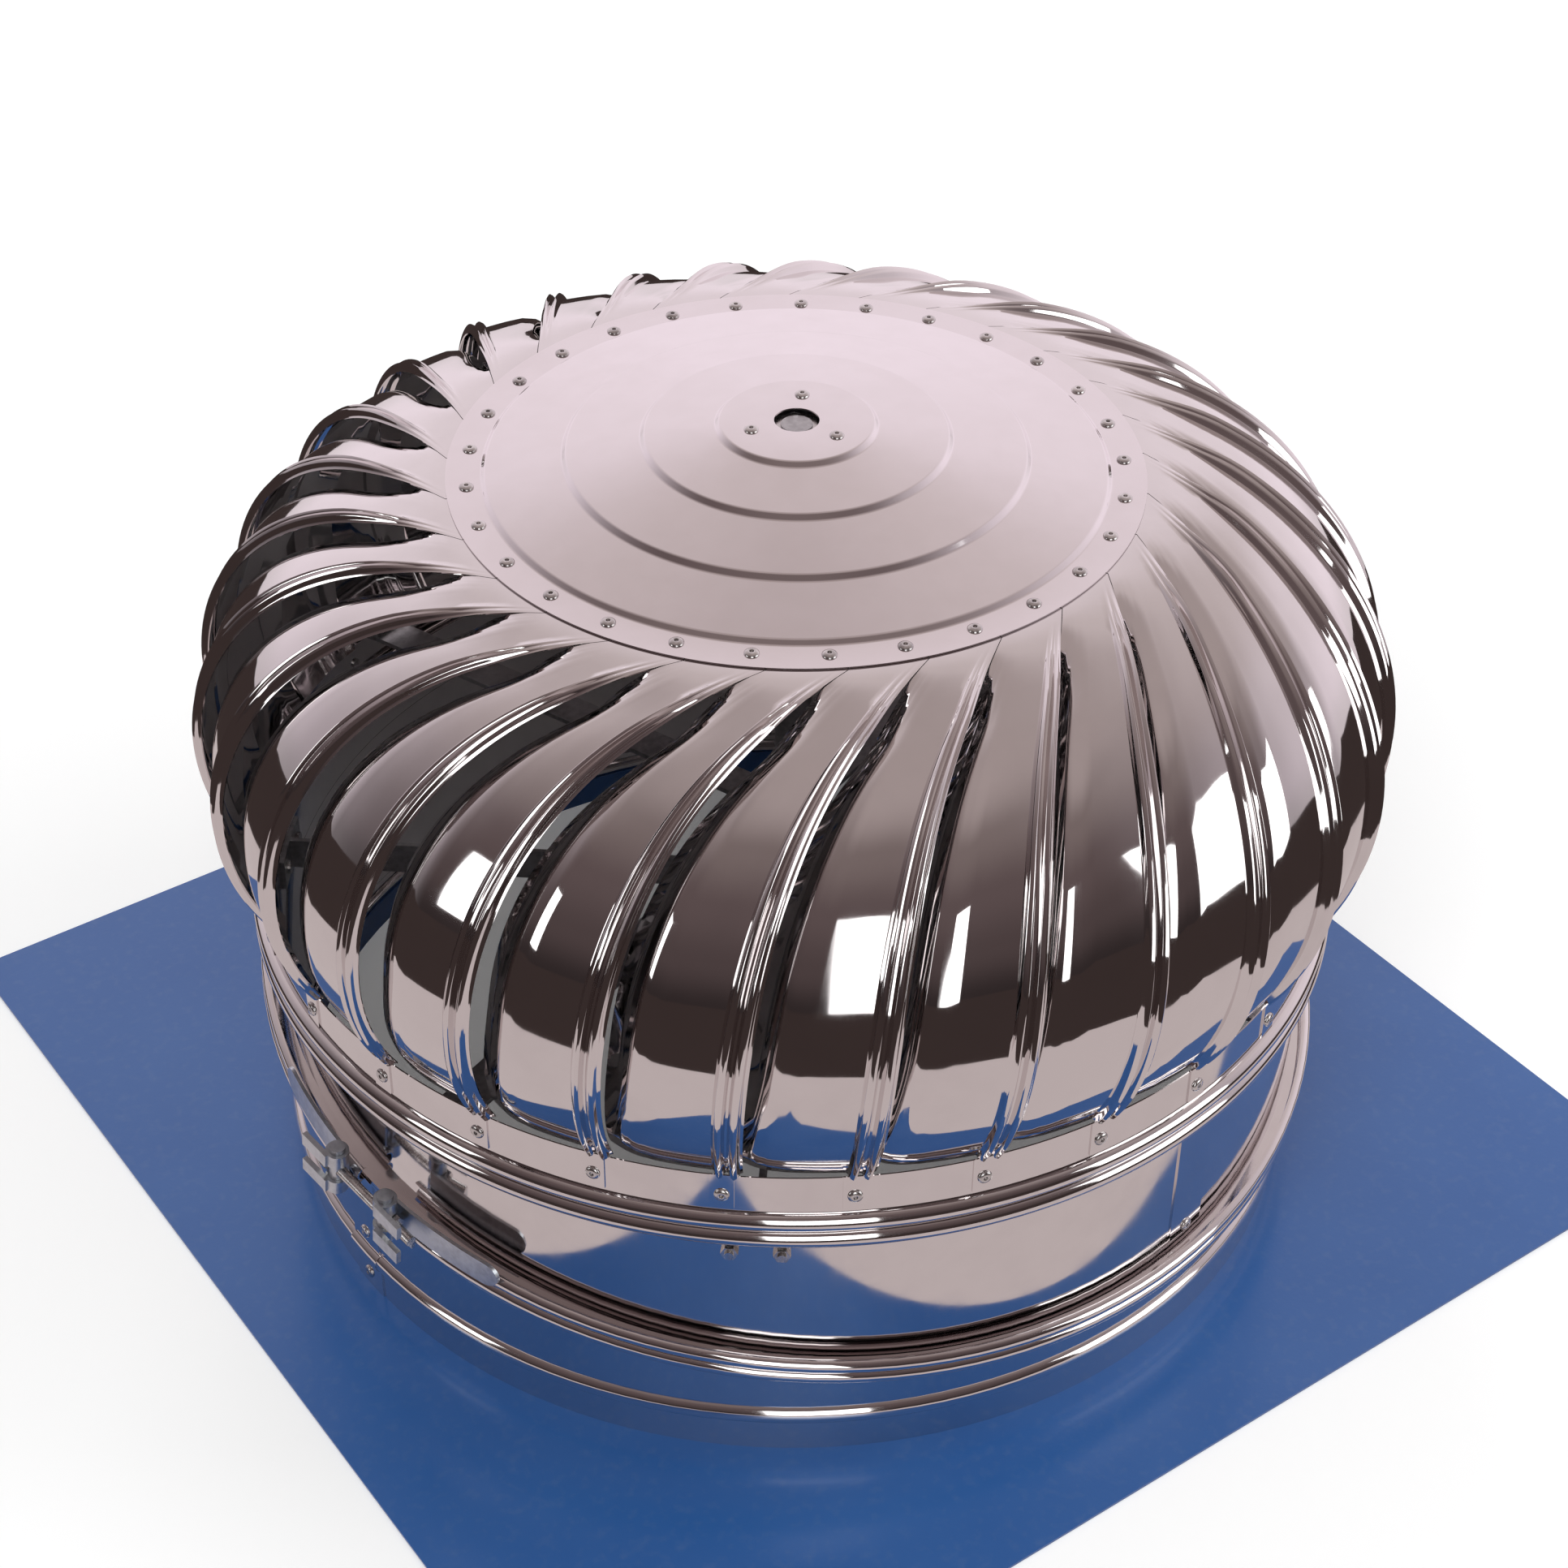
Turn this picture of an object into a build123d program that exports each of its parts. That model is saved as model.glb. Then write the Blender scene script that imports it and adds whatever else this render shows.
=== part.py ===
from build123d import *
import math
import os

# ---------------------------------------------------------------- roof plate and collar
PLATE_SIDE = 750.0          # square flashing plate
PLATE_T = 1.5
PLATE_CORNER_R = 4.0
THROAT_R = 300.0            # inside radius of neck and collar
SHEET_T = 1.0               # neck and collar sheet
LIP_T = 1.2                 # upturned rim of the plate hole
LIP_H = 18.0
LIP_BEND_R = 3.0
COLLAR_BEAD_Z = 28.5
COLLAR_BEAD_H = 12.0
COLLAR_BEAD_BULGE = 3.6
SEAM_W_DEG = 5.0            # width of the lapped seam of collar and neck
SEAM_T = 0.9
SEAM_CLEAR = 4.0            # seam ends this far short of the clamp band
COLLAR_RIVET_Z = (12.0, 45.0)
NECK_RIVET_Z = (82.0, 176.0)
COLLAR_SEAM_DEG = 179.5
NECK_SEAM_DEG = 278.0
SEAT_GAP = 0.3              # running gap between parts that turn past each other

# ---------------------------------------------------------------- slanted joint between collar and neck
JOINT_Z = 106.0             # centre height of the slanted joint
JOINT_TILT_DEG = 8.0
JOINT_LOW_DEG = 276.0       # side where the joint is lowest
FLANGE_OVERHANG = 7.0
FLANGE_T = 2.0
NECK_TOP_Z = 190.0

# ---------------------------------------------------------------- clamp band and latch
CLAMP_T = 1.2
CLAMP_BEAD_H = 9.0
CLAMP_BEAD_BULGE = 4.2
CLAMP_RIM = 0.5             # plain edge above and below the beads
CLAMP_SPLIT = 26.0          # gap between the two band ends
LATCH_DEG = 188.0
STRAP_T = 2.0
STRAP_W = 17.0
STRAP_L = 92.0
STRAP_RISE = 12.0           # strap centre line above the joint plane
STRAP_FOOT = 14.0
KNUCKLE_R = 6.5
KNUCKLE_PIN_R = 4.5
KNUCKLE_H = 9.0
TRUNNION_H = 36.0
TRUNNION_OFFSET = 21.0      # trunnion centre from the middle of the split
LATCH_BOLT_R = 3.0
LATCH_BOLT_L = 74.0
HEX6_AF = 10.0
HEX6_H = 5.0

# ---------------------------------------------------------------- neck cross and spindle
ARM_T = 3.0
ARM_H = 20.0
CROSS_Z = 155.0
CROSS_FIRST_DEG = 231.0
CROSS_ARMS = 4
CROSS_HUB_R = 15.0
CROSS_HUB_H = 30.0
TAB_W = 44.0
TAB_T = 2.0
SCREW_R = 2.5
SCREW_SPREAD = 26.8
SCREW_HEAD_R = 4.2
SCREW_HEAD_H = 2.2
SCREW_END = 1.5             # thread past the nut
NUT5_AF = 8.0
NUT5_H = 3.5
SPINDLE_R = 8.5
SPINDLE_BOTTOM_Z = 126.0
SPINDLE_TOP_Z = 464.0
SPINDLE_COLLAR_R = 10.5
HEX16_AF = 24.0
HEX16_H = 8.0

# ---------------------------------------------------------------- bearings
RACE_IN_R = 11.3
RACE_OUT_R = 17.2
BEARING_R = 20.0
BEARING_H = 12.0
BALL_R = 2.65
BALLS = 8
CAGE_T = 0.8
CAGE_H = 7.6
POCKET_GAP = 0.1
UPPER_BEARING_Z = 449.0
LOWER_BEARING_Z = 204.0
HOUSING_WALL = 3.0
HOUSING_FLANGE_R = 38.0
HOUSING_FLANGE_T = 2.0

# ---------------------------------------------------------------- rotor
VANES = 29
FIRST_RIVET_DEG = 3.84
VANE_T = 0.8
VANE_SEAT = 0.2             # vane tabs lie this far under the cap flange
CAP_T = 0.8
CAP_EDGE_R = 186.0
CAP_RIVET_R = 175.0
CAP_FLANGE_Z = 439.0        # upper face of the cap flange
CAP_HOLE_R = 12.0
CAP_TAB_R = 169.0
STEP_RADII = (165.0, 122.0, 80.5, 41.0)
STEP_RISERS = (2.6, 3.2, 3.2, 2.9)
STEP_SLOPES = (6.0, 5.8, 3.6)
STEP_RUN = 2.6
HUB_RIVET_R = 26.0
HUB_RIVET_DEG = 48.0
HUB_RIVETS = 3
BAND_R = 308.0              # outside of the rim band
CAGE_OVERHANG = 25.0        # vane ribs stand this far out past the band
VANE_FOOT_IN = 1.8          # vane foot inside the outer face of the band
BAND_T = 0.8
BAND_TOP_Z = 215.0
BAND_BEAD_TOP_Z = 190.0
BAND_BEAD_H = 11.5
BAND_BEAD_BULGE = 4.6
VANE_END_GAP = 1.0
SWIRL_DEG = 26.0            # turn of a vane from cap to band
SWIRL_LENGTH = 70.0
EDGE_LEAD_DEG = 2.8         # free edge of a vane ahead of its cap rivet
OPEN_START = 8.0            # where the vanes begin to part, from the cap edge
OPEN_END = 48.0
TUCK = 23.0                 # how far the hidden edge lies under its neighbour
RIB_H = 4.2
LAP = 0.05                  # free edge past the next vane, share of the pitch
TAB_FROM, TAB_TO = 0.80, 0.985
BAND_TAB_H = 23.0
RIVET_R = 2.0
RIVET_HEAD_R = 4.0
RIVET_HEAD_H = 1.6
RIVET_TAIL_R = 3.0
RIVET_TAIL_H = 1.0
RIVET_SLACK = 0.05
ROTOR_ARM_W = 22.0
ROTOR_ARM_T = 3.0
ROTOR_ARMS = 4
ROTOR_ARM_FIRST_DEG = 20.0
ROTOR_ARM_LIP = 6.5         # turned up arm end, arm thickness included
ROTOR_ARM_Z = 207.0

PITCH_DEG = 360.0 / VANES
JOINT_LOW = math.radians(JOINT_LOW_DEG)
JOINT_TILT = math.radians(JOINT_TILT_DEG)
WALL_R = THROAT_R + SHEET_T
FLANGE_R = WALL_R + FLANGE_OVERHANG
JOINT = Plane(
    origin=(0, 0, JOINT_Z),
    x_dir=(math.cos(JOINT_LOW) * math.cos(JOINT_TILT), math.sin(JOINT_LOW) * math.cos(JOINT_TILT),
           -math.sin(JOINT_TILT)),
    z_dir=(math.sin(JOINT_TILT) * math.cos(JOINT_LOW), math.sin(JOINT_TILT) * math.sin(JOINT_LOW),
           math.cos(JOINT_TILT)),
)
BIG = 2.0 * PLATE_SIDE
DRILL_REACH = 15.0          # half length of a drill through a wall


def on_joint(shape):
    """Move a shape drawn about the origin onto the slanted joint."""
    return JOINT.location * shape


def turned(shape, degrees):
    return Rotation(0, 0, degrees) * shape


def bore(radius, height, low):
    return Pos(0, 0, low) * Cylinder(radius, height, align=(Align.CENTER, Align.CENTER, Align.MIN))


def tube(outer, inner, height, low):
    return bore(outer, height, low) - bore(inner, height + 2.0, low - 1.0)


def hexagon_prism(across_flats, height, low):
    sketch = RegularPolygon(across_flats / 2.0, 6, major_radius=False)
    return Pos(0, 0, low) * extrude(sketch, height)


def revolved(face, arc=360.0, start=0.0):
    return turned(revolve(face, Axis.Z, arc), start)


def beaded_face(radius, thickness, levels, beads):
    """Section of a sheet ring with outward beads.

    levels is (bottom, top); beads is a list of (centre height, bead height, bulge), bottom first.
    """
    bottom, top = levels

    def path(offset):
        edges = []
        here = (radius - offset, 0, bottom)
        for centre, height, bulge in beads:
            low = (radius - offset, 0, centre - height / 2.0)
            high = (radius - offset, 0, centre + height / 2.0)
            crest = (radius - offset + bulge, 0, centre)
            if low[2] - here[2] > 1e-6:
                edges.append(Line(here, low))
            edges.append(ThreePointArc(low, crest, high))
            here = high
        edges.append(Line(here, (radius - offset, 0, top)))
        return edges

    outer, inner = path(0.0), path(thickness)
    caps = [
        Line((radius, 0, bottom), (radius - thickness, 0, bottom)),
        Line((radius, 0, top), (radius - thickness, 0, top)),
    ]
    return make_face(outer + inner + caps)


# ---------------------------------------------------------------- base
def base_plate():
    """Square plate with the hole rim turned up, cut clear of the tails of the collar rivets."""
    sheet = extrude(RectangleRounded(PLATE_SIDE, PLATE_SIDE, PLATE_CORNER_R), PLATE_T)
    lip_out = THROAT_R - SEAT_GAP
    lip_in = lip_out - LIP_T
    sheet -= bore(lip_in, BIG, -BIG / 2.0)
    lip = tube(lip_out, lip_in, LIP_H, PLATE_T / 2.0)
    tails = wall_holes(lip_out, collar_rivet_spots(), RIVET_TAIL_R + SEAT_GAP)
    return drilled(sheet + lip, tails)


def collar_rivet_spots():
    return [(COLLAR_SEAM_DEG + SEAM_W_DEG / 2.0, level) for level in COLLAR_RIVET_Z]


def neck_rivet_spots():
    return [(NECK_SEAM_DEG + SEAM_W_DEG / 2.0, level) for level in NECK_RIVET_Z]


def collar_wall(radius, thickness):
    bead = (COLLAR_BEAD_Z, COLLAR_BEAD_H, COLLAR_BEAD_BULGE)
    top = JOINT_Z + FLANGE_R * math.tan(JOINT_TILT) + FLANGE_T
    return beaded_face(radius, thickness, (PLATE_T, top), [bead])


def joint_flange(above):
    """Round flange in the slanted joint, open over the throat."""
    low = SEAT_GAP / 2.0 if above else -SEAT_GAP / 2.0 - FLANGE_T
    ring = on_joint(bore(FLANGE_R, FLANGE_T, low))
    return ring - bore(THROAT_R, BIG, 0)


def base_collar():
    body = revolved(collar_wall(WALL_R, SHEET_T))
    lap = revolved(collar_wall(WALL_R + SEAM_T, SEAM_T), SEAM_W_DEG, COLLAR_SEAM_DEG)
    lap &= on_joint(bore(BIG, BIG, -CLAMP_BEAD_H - SEAM_CLEAR - BIG))
    body &= on_joint(bore(BIG, BIG, -SEAT_GAP / 2.0 - BIG))
    return drilled(body + lap + joint_flange(False), wall_holes(WALL_R, collar_rivet_spots()))


def neck_ring():
    low = JOINT_Z - FLANGE_R * math.tan(JOINT_TILT) - FLANGE_T
    body = tube(WALL_R, THROAT_R, NECK_TOP_Z - low, low)
    lap_face = beaded_face(WALL_R + SEAM_T, SEAM_T, (low, NECK_TOP_Z), [])
    lap = revolved(lap_face, SEAM_W_DEG, NECK_SEAM_DEG)
    lap &= on_joint(bore(BIG, BIG, CLAMP_BEAD_H + SEAM_CLEAR))
    body &= on_joint(bore(BIG, BIG, SEAT_GAP / 2.0))
    holes = wall_holes(WALL_R, neck_rivet_spots())
    holes += wall_holes(WALL_R, [(a, CROSS_Z) for a in screw_spots()], SCREW_R)
    return drilled(body + lap + joint_flange(True), holes)


def rivet(grip):
    """Domed rivet along +Z: head above z = 0, shank and closed tail below."""
    grip += RIVET_SLACK
    foot = -grip - RIVET_TAIL_H
    ball = (RIVET_HEAD_R ** 2 + RIVET_HEAD_H ** 2) / (2.0 * RIVET_HEAD_H)
    half = math.asin(RIVET_HEAD_R / ball) / 2.0
    middle = (ball * math.sin(half), 0, RIVET_HEAD_H - ball + ball * math.cos(half))
    outline = Polyline((0, 0, RIVET_HEAD_H), (0, 0, foot), (RIVET_TAIL_R, 0, foot), (RIVET_TAIL_R, 0, -grip),
                       (RIVET_R, 0, -grip), (RIVET_R, 0, 0), (RIVET_HEAD_R, 0, 0))
    dome = ThreePointArc((RIVET_HEAD_R, 0, 0), middle, (0, 0, RIVET_HEAD_H))
    return revolved(make_face([*outline.edges(), dome]))


def radial(shape, radius, degrees, level):
    """Stand a shape drawn along +Z on a wall, pointing outward."""
    angle = math.radians(degrees)
    out = (math.cos(angle), math.sin(angle), 0)
    spot = (radius * out[0], radius * out[1], level)
    return Plane(origin=spot, x_dir=(-out[1], out[0], 0), z_dir=out).location * shape


def seam_rivets(spots):
    one = rivet(SHEET_T + SEAM_T)
    return Compound(children=[radial(one, WALL_R + SEAM_T, degrees, level) for degrees, level in spots])


def collar_rivets():
    return seam_rivets(collar_rivet_spots())


def neck_rivets():
    return seam_rivets(neck_rivet_spots())


def drilled(body, cutters):
    """Take a list of cutting shapes out of a body in one step."""
    return body - cutters


def wall_holes(radius, spots, size=RIVET_R):
    """Round cutters through a wall at each (degrees, height)."""
    cutter = bore(size, 2.0 * DRILL_REACH, -DRILL_REACH)
    return [radial(cutter, radius, degrees, level) for degrees, level in spots]


# ---------------------------------------------------------------- clamp band and latch
def clamp_profile():
    """Two outward beads with a groove between, as drawn in the joint plane."""
    beads = [(side * CLAMP_BEAD_H / 2.0, CLAMP_BEAD_H, CLAMP_BEAD_BULGE) for side in (-1, 1)]
    half = CLAMP_BEAD_H + CLAMP_RIM
    return beaded_face(FLANGE_R + SEAT_GAP + CLAMP_T, CLAMP_T, (-half, half), beads)


def latch_angle(distance, radius):
    """Degrees along the band for a distance measured on it."""
    return math.degrees(distance / radius)


LATCH_LOCAL = LATCH_DEG - JOINT_LOW_DEG     # latch angle seen in the joint plane
BAND_CREST_R = FLANGE_R + SEAT_GAP + CLAMP_T + CLAMP_BEAD_BULGE
STRAP_OUT_R = BAND_CREST_R + STRAP_T
KNUCKLE_SEAT_R = STRAP_OUT_R + KNUCKLE_R - 1.0
KNUCKLE_LOW = STRAP_RISE - TRUNNION_H / 2.0 + 3.0
KNUCKLE_HIGH = STRAP_RISE + TRUNNION_H / 2.0 - 3.0 - KNUCKLE_H


def clamp_band():
    split = latch_angle(CLAMP_SPLIT, FLANGE_R)
    ring = revolved(clamp_profile(), 360.0 - split, LATCH_LOCAL + split / 2.0)
    return on_joint(ring)


def at_trunnion(shape, side, level=0.0):
    """Place a shape drawn along +Z at one trunnion; side is -1 or 1 along the band."""
    angle = math.radians(LATCH_LOCAL)
    out = Vector(math.cos(angle), math.sin(angle), 0)
    along = Vector(-out.Y, out.X, 0)
    spot = out * KNUCKLE_SEAT_R + along * (side * TRUNNION_OFFSET) + Vector(0, 0, level)
    return Plane(origin=spot, x_dir=along, z_dir=(0, 0, 1)).location * shape


def latch_strap(side):
    """Strap with a round end, welded foot and two knuckles for one trunnion."""
    start = TRUNNION_OFFSET
    straight = STRAP_L - STRAP_W / 2.0
    angle = math.radians(LATCH_LOCAL)
    out = (math.cos(angle), math.sin(angle), 0)
    face = Plane(origin=(0, 0, 0), x_dir=(-out[1], out[0], 0), z_dir=out)
    bar = Pos(side * (start + straight) / 2.0, STRAP_RISE) * Rectangle(straight - start, STRAP_W)
    tip = Pos(side * straight, STRAP_RISE) * Circle(STRAP_W / 2.0)
    foot_low = -CLAMP_BEAD_H
    foot = Pos(side * (start + STRAP_FOOT / 2.0), (foot_low + STRAP_RISE) / 2.0)
    foot *= Rectangle(STRAP_FOOT, STRAP_RISE - foot_low)
    plate = face.location * extrude(bar + tip + foot, BIG / 2.0)
    plate &= tube(STRAP_OUT_R, BAND_CREST_R, BIG, -BIG / 2.0)
    body = plate
    for low in (KNUCKLE_LOW, KNUCKLE_HIGH):
        loop = tube(KNUCKLE_R, KNUCKLE_PIN_R, KNUCKLE_H, 0.0)
        leaf_l = KNUCKLE_R + STRAP_FOOT
        leaf = Pos(side * leaf_l / 2.0, -KNUCKLE_R, KNUCKLE_H / 2.0) * Box(leaf_l, 3.0, KNUCKLE_H)
        leaf -= bore(KNUCKLE_PIN_R, KNUCKLE_H + 2.0, -1.0)
        body += at_trunnion(loop + leaf, side, low)
    body -= tube(BAND_CREST_R, THROAT_R, BIG, -BIG / 2.0)
    return on_joint(body)


def latch_bolt_frame():
    """Local frame of the latch bolt: +Z along the band, origin between the trunnions."""
    angle = math.radians(LATCH_LOCAL)
    out = Vector(math.cos(angle), math.sin(angle), 0)
    return Plane(origin=out * KNUCKLE_SEAT_R + Vector(0, 0, STRAP_RISE), x_dir=out, z_dir=(-out.Y, out.X, 0))


def latch_trunnions():
    hole = latch_bolt_frame().location * bore(LATCH_BOLT_R + 0.2, BIG / 4.0, -BIG / 8.0)
    pins = []
    for side in (-1, 1):
        pin = bore(KNUCKLE_PIN_R - 0.1, TRUNNION_H, STRAP_RISE - TRUNNION_H / 2.0)
        pins.append(on_joint(at_trunnion(pin, side) - hole))
    return Compound(children=pins)


def latch_bolt():
    low = -TRUNNION_OFFSET - KNUCKLE_PIN_R - HEX6_H
    shank = bore(LATCH_BOLT_R, LATCH_BOLT_L, low)
    head = hexagon_prism(HEX6_AF, HEX6_H, low)
    return on_joint(latch_bolt_frame().location * (shank + head))


def latch_nut():
    nut = hexagon_prism(HEX6_AF, HEX6_H, TRUNNION_OFFSET + KNUCKLE_PIN_R)
    nut -= bore(LATCH_BOLT_R, BIG / 4.0, -BIG / 8.0)
    return on_joint(latch_bolt_frame().location * nut)


# ---------------------------------------------------------------- neck cross and spindle
def screw_spots():
    """Angles of the screws that hold the cross to the neck wall."""
    half = math.degrees(SCREW_SPREAD / 2.0 / WALL_R)
    spots = []
    for i in range(CROSS_ARMS):
        middle = CROSS_FIRST_DEG + i * 360.0 / CROSS_ARMS
        spots += [middle - half, middle + half]
    return spots


def neck_cross():
    hub = tube(CROSS_HUB_R, SPINDLE_R, CROSS_HUB_H, CROSS_Z - CROSS_HUB_H / 2.0)
    reach = THROAT_R - TAB_T
    body = hub
    for i in range(CROSS_ARMS):
        length = reach - CROSS_HUB_R + 2.0
        arm = Pos(CROSS_HUB_R - 1.0 + length / 2.0, 0, CROSS_Z) * Box(length, ARM_T, ARM_H)
        tab = Pos(THROAT_R - TAB_T, 0, CROSS_Z) * Box(8.0, TAB_W, ARM_H)
        tab &= tube(THROAT_R, THROAT_R - TAB_T, 3.0 * ARM_H, CROSS_Z - 1.5 * ARM_H)
        arm &= bore(THROAT_R - TAB_T / 2.0, 3.0 * ARM_H, CROSS_Z - 1.5 * ARM_H)
        body += turned(arm + tab, CROSS_FIRST_DEG + i * 360.0 / CROSS_ARMS)
    return drilled(body, wall_holes(THROAT_R, [(a, CROSS_Z) for a in screw_spots()], SCREW_R))


def neck_screws():
    """Pan screws from the inside with nuts and thread ends outside."""
    screws = []
    inner = THROAT_R - TAB_T
    for angle in screw_spots():
        head = bore(SCREW_HEAD_R, SCREW_HEAD_H, -SCREW_HEAD_H - RIVET_SLACK)
        shank = bore(SCREW_R, WALL_R - inner + NUT5_H + SCREW_END + RIVET_SLACK, -RIVET_SLACK)
        nut = hexagon_prism(NUT5_AF, NUT5_H, WALL_R - inner)
        screws.append(radial(head + shank + nut, inner, angle, CROSS_Z))
    return Compound(children=screws)


def spindle():
    rod = bore(SPINDLE_R, SPINDLE_TOP_Z - SPINDLE_BOTTOM_Z, SPINDLE_BOTTOM_Z)
    hub_top = CROSS_Z + CROSS_HUB_H / 2.0
    low_seat = LOWER_BEARING_Z - BEARING_H / 2.0
    shoulder = bore(SPINDLE_COLLAR_R, low_seat - hub_top, hub_top)
    top_seat = UPPER_BEARING_Z - BEARING_H / 2.0
    spacer_low = LOWER_BEARING_Z + BEARING_H / 2.0
    sleeve = bore(SPINDLE_COLLAR_R, top_seat - spacer_low, spacer_low)
    return rod + shoulder + sleeve


def spindle_nuts():
    hub_low = CROSS_Z - CROSS_HUB_H / 2.0
    low = hexagon_prism(HEX16_AF, HEX16_H, hub_low - HEX16_H)
    high = hexagon_prism(HEX16_AF, HEX16_H, UPPER_BEARING_Z + BEARING_H / 2.0)
    rod = bore(SPINDLE_R, BIG, 0.0)
    return Compound(children=[low - rod, high - rod])


def race(outer, inner, level, groove_r):
    ring = tube(outer, inner, BEARING_H, level - BEARING_H / 2.0)
    track = Pos(0, 0, level) * Torus(groove_r, BALL_R + 0.3)
    return ring - track


BALL_PITCH_R = (RACE_IN_R + RACE_OUT_R) / 2.0


def inner_race(level):
    return race(RACE_IN_R, SPINDLE_R, level, BALL_PITCH_R)


def outer_race(level):
    return race(BEARING_R, RACE_OUT_R, level, BALL_PITCH_R)


def ball_set(level):
    step = 360.0 / BALLS
    balls = [turned(Pos(BALL_PITCH_R, 0, level) * Sphere(BALL_R), i * step) for i in range(BALLS)]
    return Compound(children=balls)


def ball_cage(level):
    ring = tube(BALL_PITCH_R + CAGE_T, BALL_PITCH_R - CAGE_T, CAGE_H, level - CAGE_H / 2.0)
    pocket = radial(bore(BALL_R + POCKET_GAP, 4.0 * CAGE_T, 0.0), BALL_PITCH_R - 2.0 * CAGE_T, 0.0, level)
    return drilled(ring, [turned(pocket, i * 360.0 / BALLS) for i in range(BALLS)])


# ---------------------------------------------------------------- rotor
CAP_UNDER_Z = CAP_FLANGE_Z - CAP_T - VANE_SEAT
WIDEST_R = BAND_R + CAGE_OVERHANG - RIB_H
SHOULDER_R = WIDEST_R - CAP_EDGE_R          # meridian radius of the upper vane
WIDEST_Z = CAP_UNDER_Z - SHOULDER_R
VANE_LOW_Z = BAND_TOP_Z + VANE_END_GAP
FOOT_RUN = WIDEST_R - BAND_R + VANE_FOOT_IN
VANE_LOW_R = (FOOT_RUN ** 2 + (WIDEST_Z - VANE_LOW_Z) ** 2) / (2.0 * FOOT_RUN)     # meridian radius of the lower vane
QUARTER = SHOULDER_R * math.pi / 2.0
LOW_TURN = math.asin((WIDEST_Z - VANE_LOW_Z) / VANE_LOW_R)
MERIDIAN_L = QUARTER + VANE_LOW_R * LOW_TURN


def meridian(s):
    """Point (r, z) and outward normal of the vane surface at arc length s from the cap edge."""
    if s <= 0.0:
        return CAP_EDGE_R + s, CAP_UNDER_Z, 0.0, 1.0
    if s <= QUARTER:
        a = s / SHOULDER_R
        return CAP_EDGE_R + SHOULDER_R * math.sin(a), WIDEST_Z + SHOULDER_R * math.cos(a), math.sin(a), math.cos(a)
    a = (s - QUARTER) / VANE_LOW_R
    centre = WIDEST_R - VANE_LOW_R
    return centre + VANE_LOW_R * math.cos(a), WIDEST_Z - VANE_LOW_R * math.sin(a), math.cos(a), -math.sin(a)


def smooth(x):
    x = min(max(x, 0.0), 1.0)
    return x * x * (3.0 - 2.0 * x)


def swirl(s):
    """Turn of the vane in degrees at arc length s, fast near the cap and slow below."""
    return -SWIRL_DEG * (1.0 - math.exp(-max(s, 0.0) / SWIRL_LENGTH))


# share of the pitch, depth under the surface as a share of TUCK, height as a share of RIB_H
PANEL = ((0.00, 1.00, 0.0), (0.06, 0.78, 0.0), (0.13, 0.52, 0.0), (0.22, 0.32, 0.0), (0.36, 0.19, 0.0),
         (0.55, 0.13, 0.0), (0.785, 0.07, 0.0))
FOLDS = ((0.785, 0.07, 0.0), (0.812, 0.06, 0.8), (0.833, 0.05, 1.0), (0.852, 0.04, 0.8), (0.876, 0.04, 0.1),
         (0.893, 0.03, 0.1), (0.917, 0.02, 0.8), (0.938, 0.01, 1.0), (0.957, 0.01, 0.8), (0.98, 0.00, 0.1),
         (1.00, 0.02, 0.0))
STATIONS = (-0.055, -0.02, 0.025, 0.06, 0.10, 0.155, 0.23, 0.33, 0.45, 0.58, 0.72, 0.86, 0.95, 1.0)
VANE_START_DEG = FIRST_RIVET_DEG + EDGE_LEAD_DEG - PITCH_DEG


def vane_point(s, share, depth, rib, offset):
    """Point of the vane surface; the first and last rows are flattened so that both ends are plane."""
    opened = smooth((s - OPEN_START) / (OPEN_END - OPEN_START))
    closing = 1.0 - 0.72 * smooth((s - 0.70 * MERIDIAN_L) / (0.30 * MERIDIAN_L))
    ribs = smooth((s - OPEN_START) / OPEN_END)
    r, z, nr, nz = meridian(s)
    h = RIB_H * rib * ribs - TUCK * depth * opened * closing - offset
    side_gap = SEAT_GAP / (r * math.radians(PITCH_DEG))
    start = side_gap * (1.0 - opened)
    stop = 1.0 - side_gap * (1.0 - opened) + LAP * opened
    turn = (start + share * (stop - start)) * PITCH_DEG
    angle = math.radians(VANE_START_DEG + swirl(s) + turn)
    radius = r + nr * h
    level = z + nz * h
    if s <= STATIONS[0] * MERIDIAN_L:
        radius /= math.cos(math.radians(turn - PITCH_DEG / 2.0))
    if s >= MERIDIAN_L:
        level = VANE_LOW_Z
    return Vector(radius * math.cos(angle), radius * math.sin(angle), level)


def vane_section(s):
    """Closed section of the sheet: smooth panel, two folded ribs and the free edge."""
    panel, folds = ([[vane_point(s, *row, offset) for row in rows] for offset in (0.0, VANE_T)]
                    for rows in (PANEL, FOLDS))
    edges = [Line(panel[0][0], panel[1][0]), Line(folds[0][-1], folds[1][-1])]
    for side in (0, 1):
        edges.append(Spline(*panel[side]))
        edges += [Line(a, b) for a, b in zip(folds[side], folds[side][1:])]
    return Wire(edges)


def vane_bottom_tab():
    """Leaf of the vane that lies on the rim band under the ribs."""
    start = VANE_START_DEG + swirl(MERIDIAN_L)
    low = BAND_TOP_Z - BAND_TAB_H
    height = VANE_LOW_Z - low
    section = Pos(BAND_R + VANE_T / 2.0, 0, low + height / 2.0) * (Plane.XZ * Rectangle(VANE_T, height))
    return revolved(section, (TAB_TO - TAB_FROM) * PITCH_DEG, start + TAB_FROM * PITCH_DEG)


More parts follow.
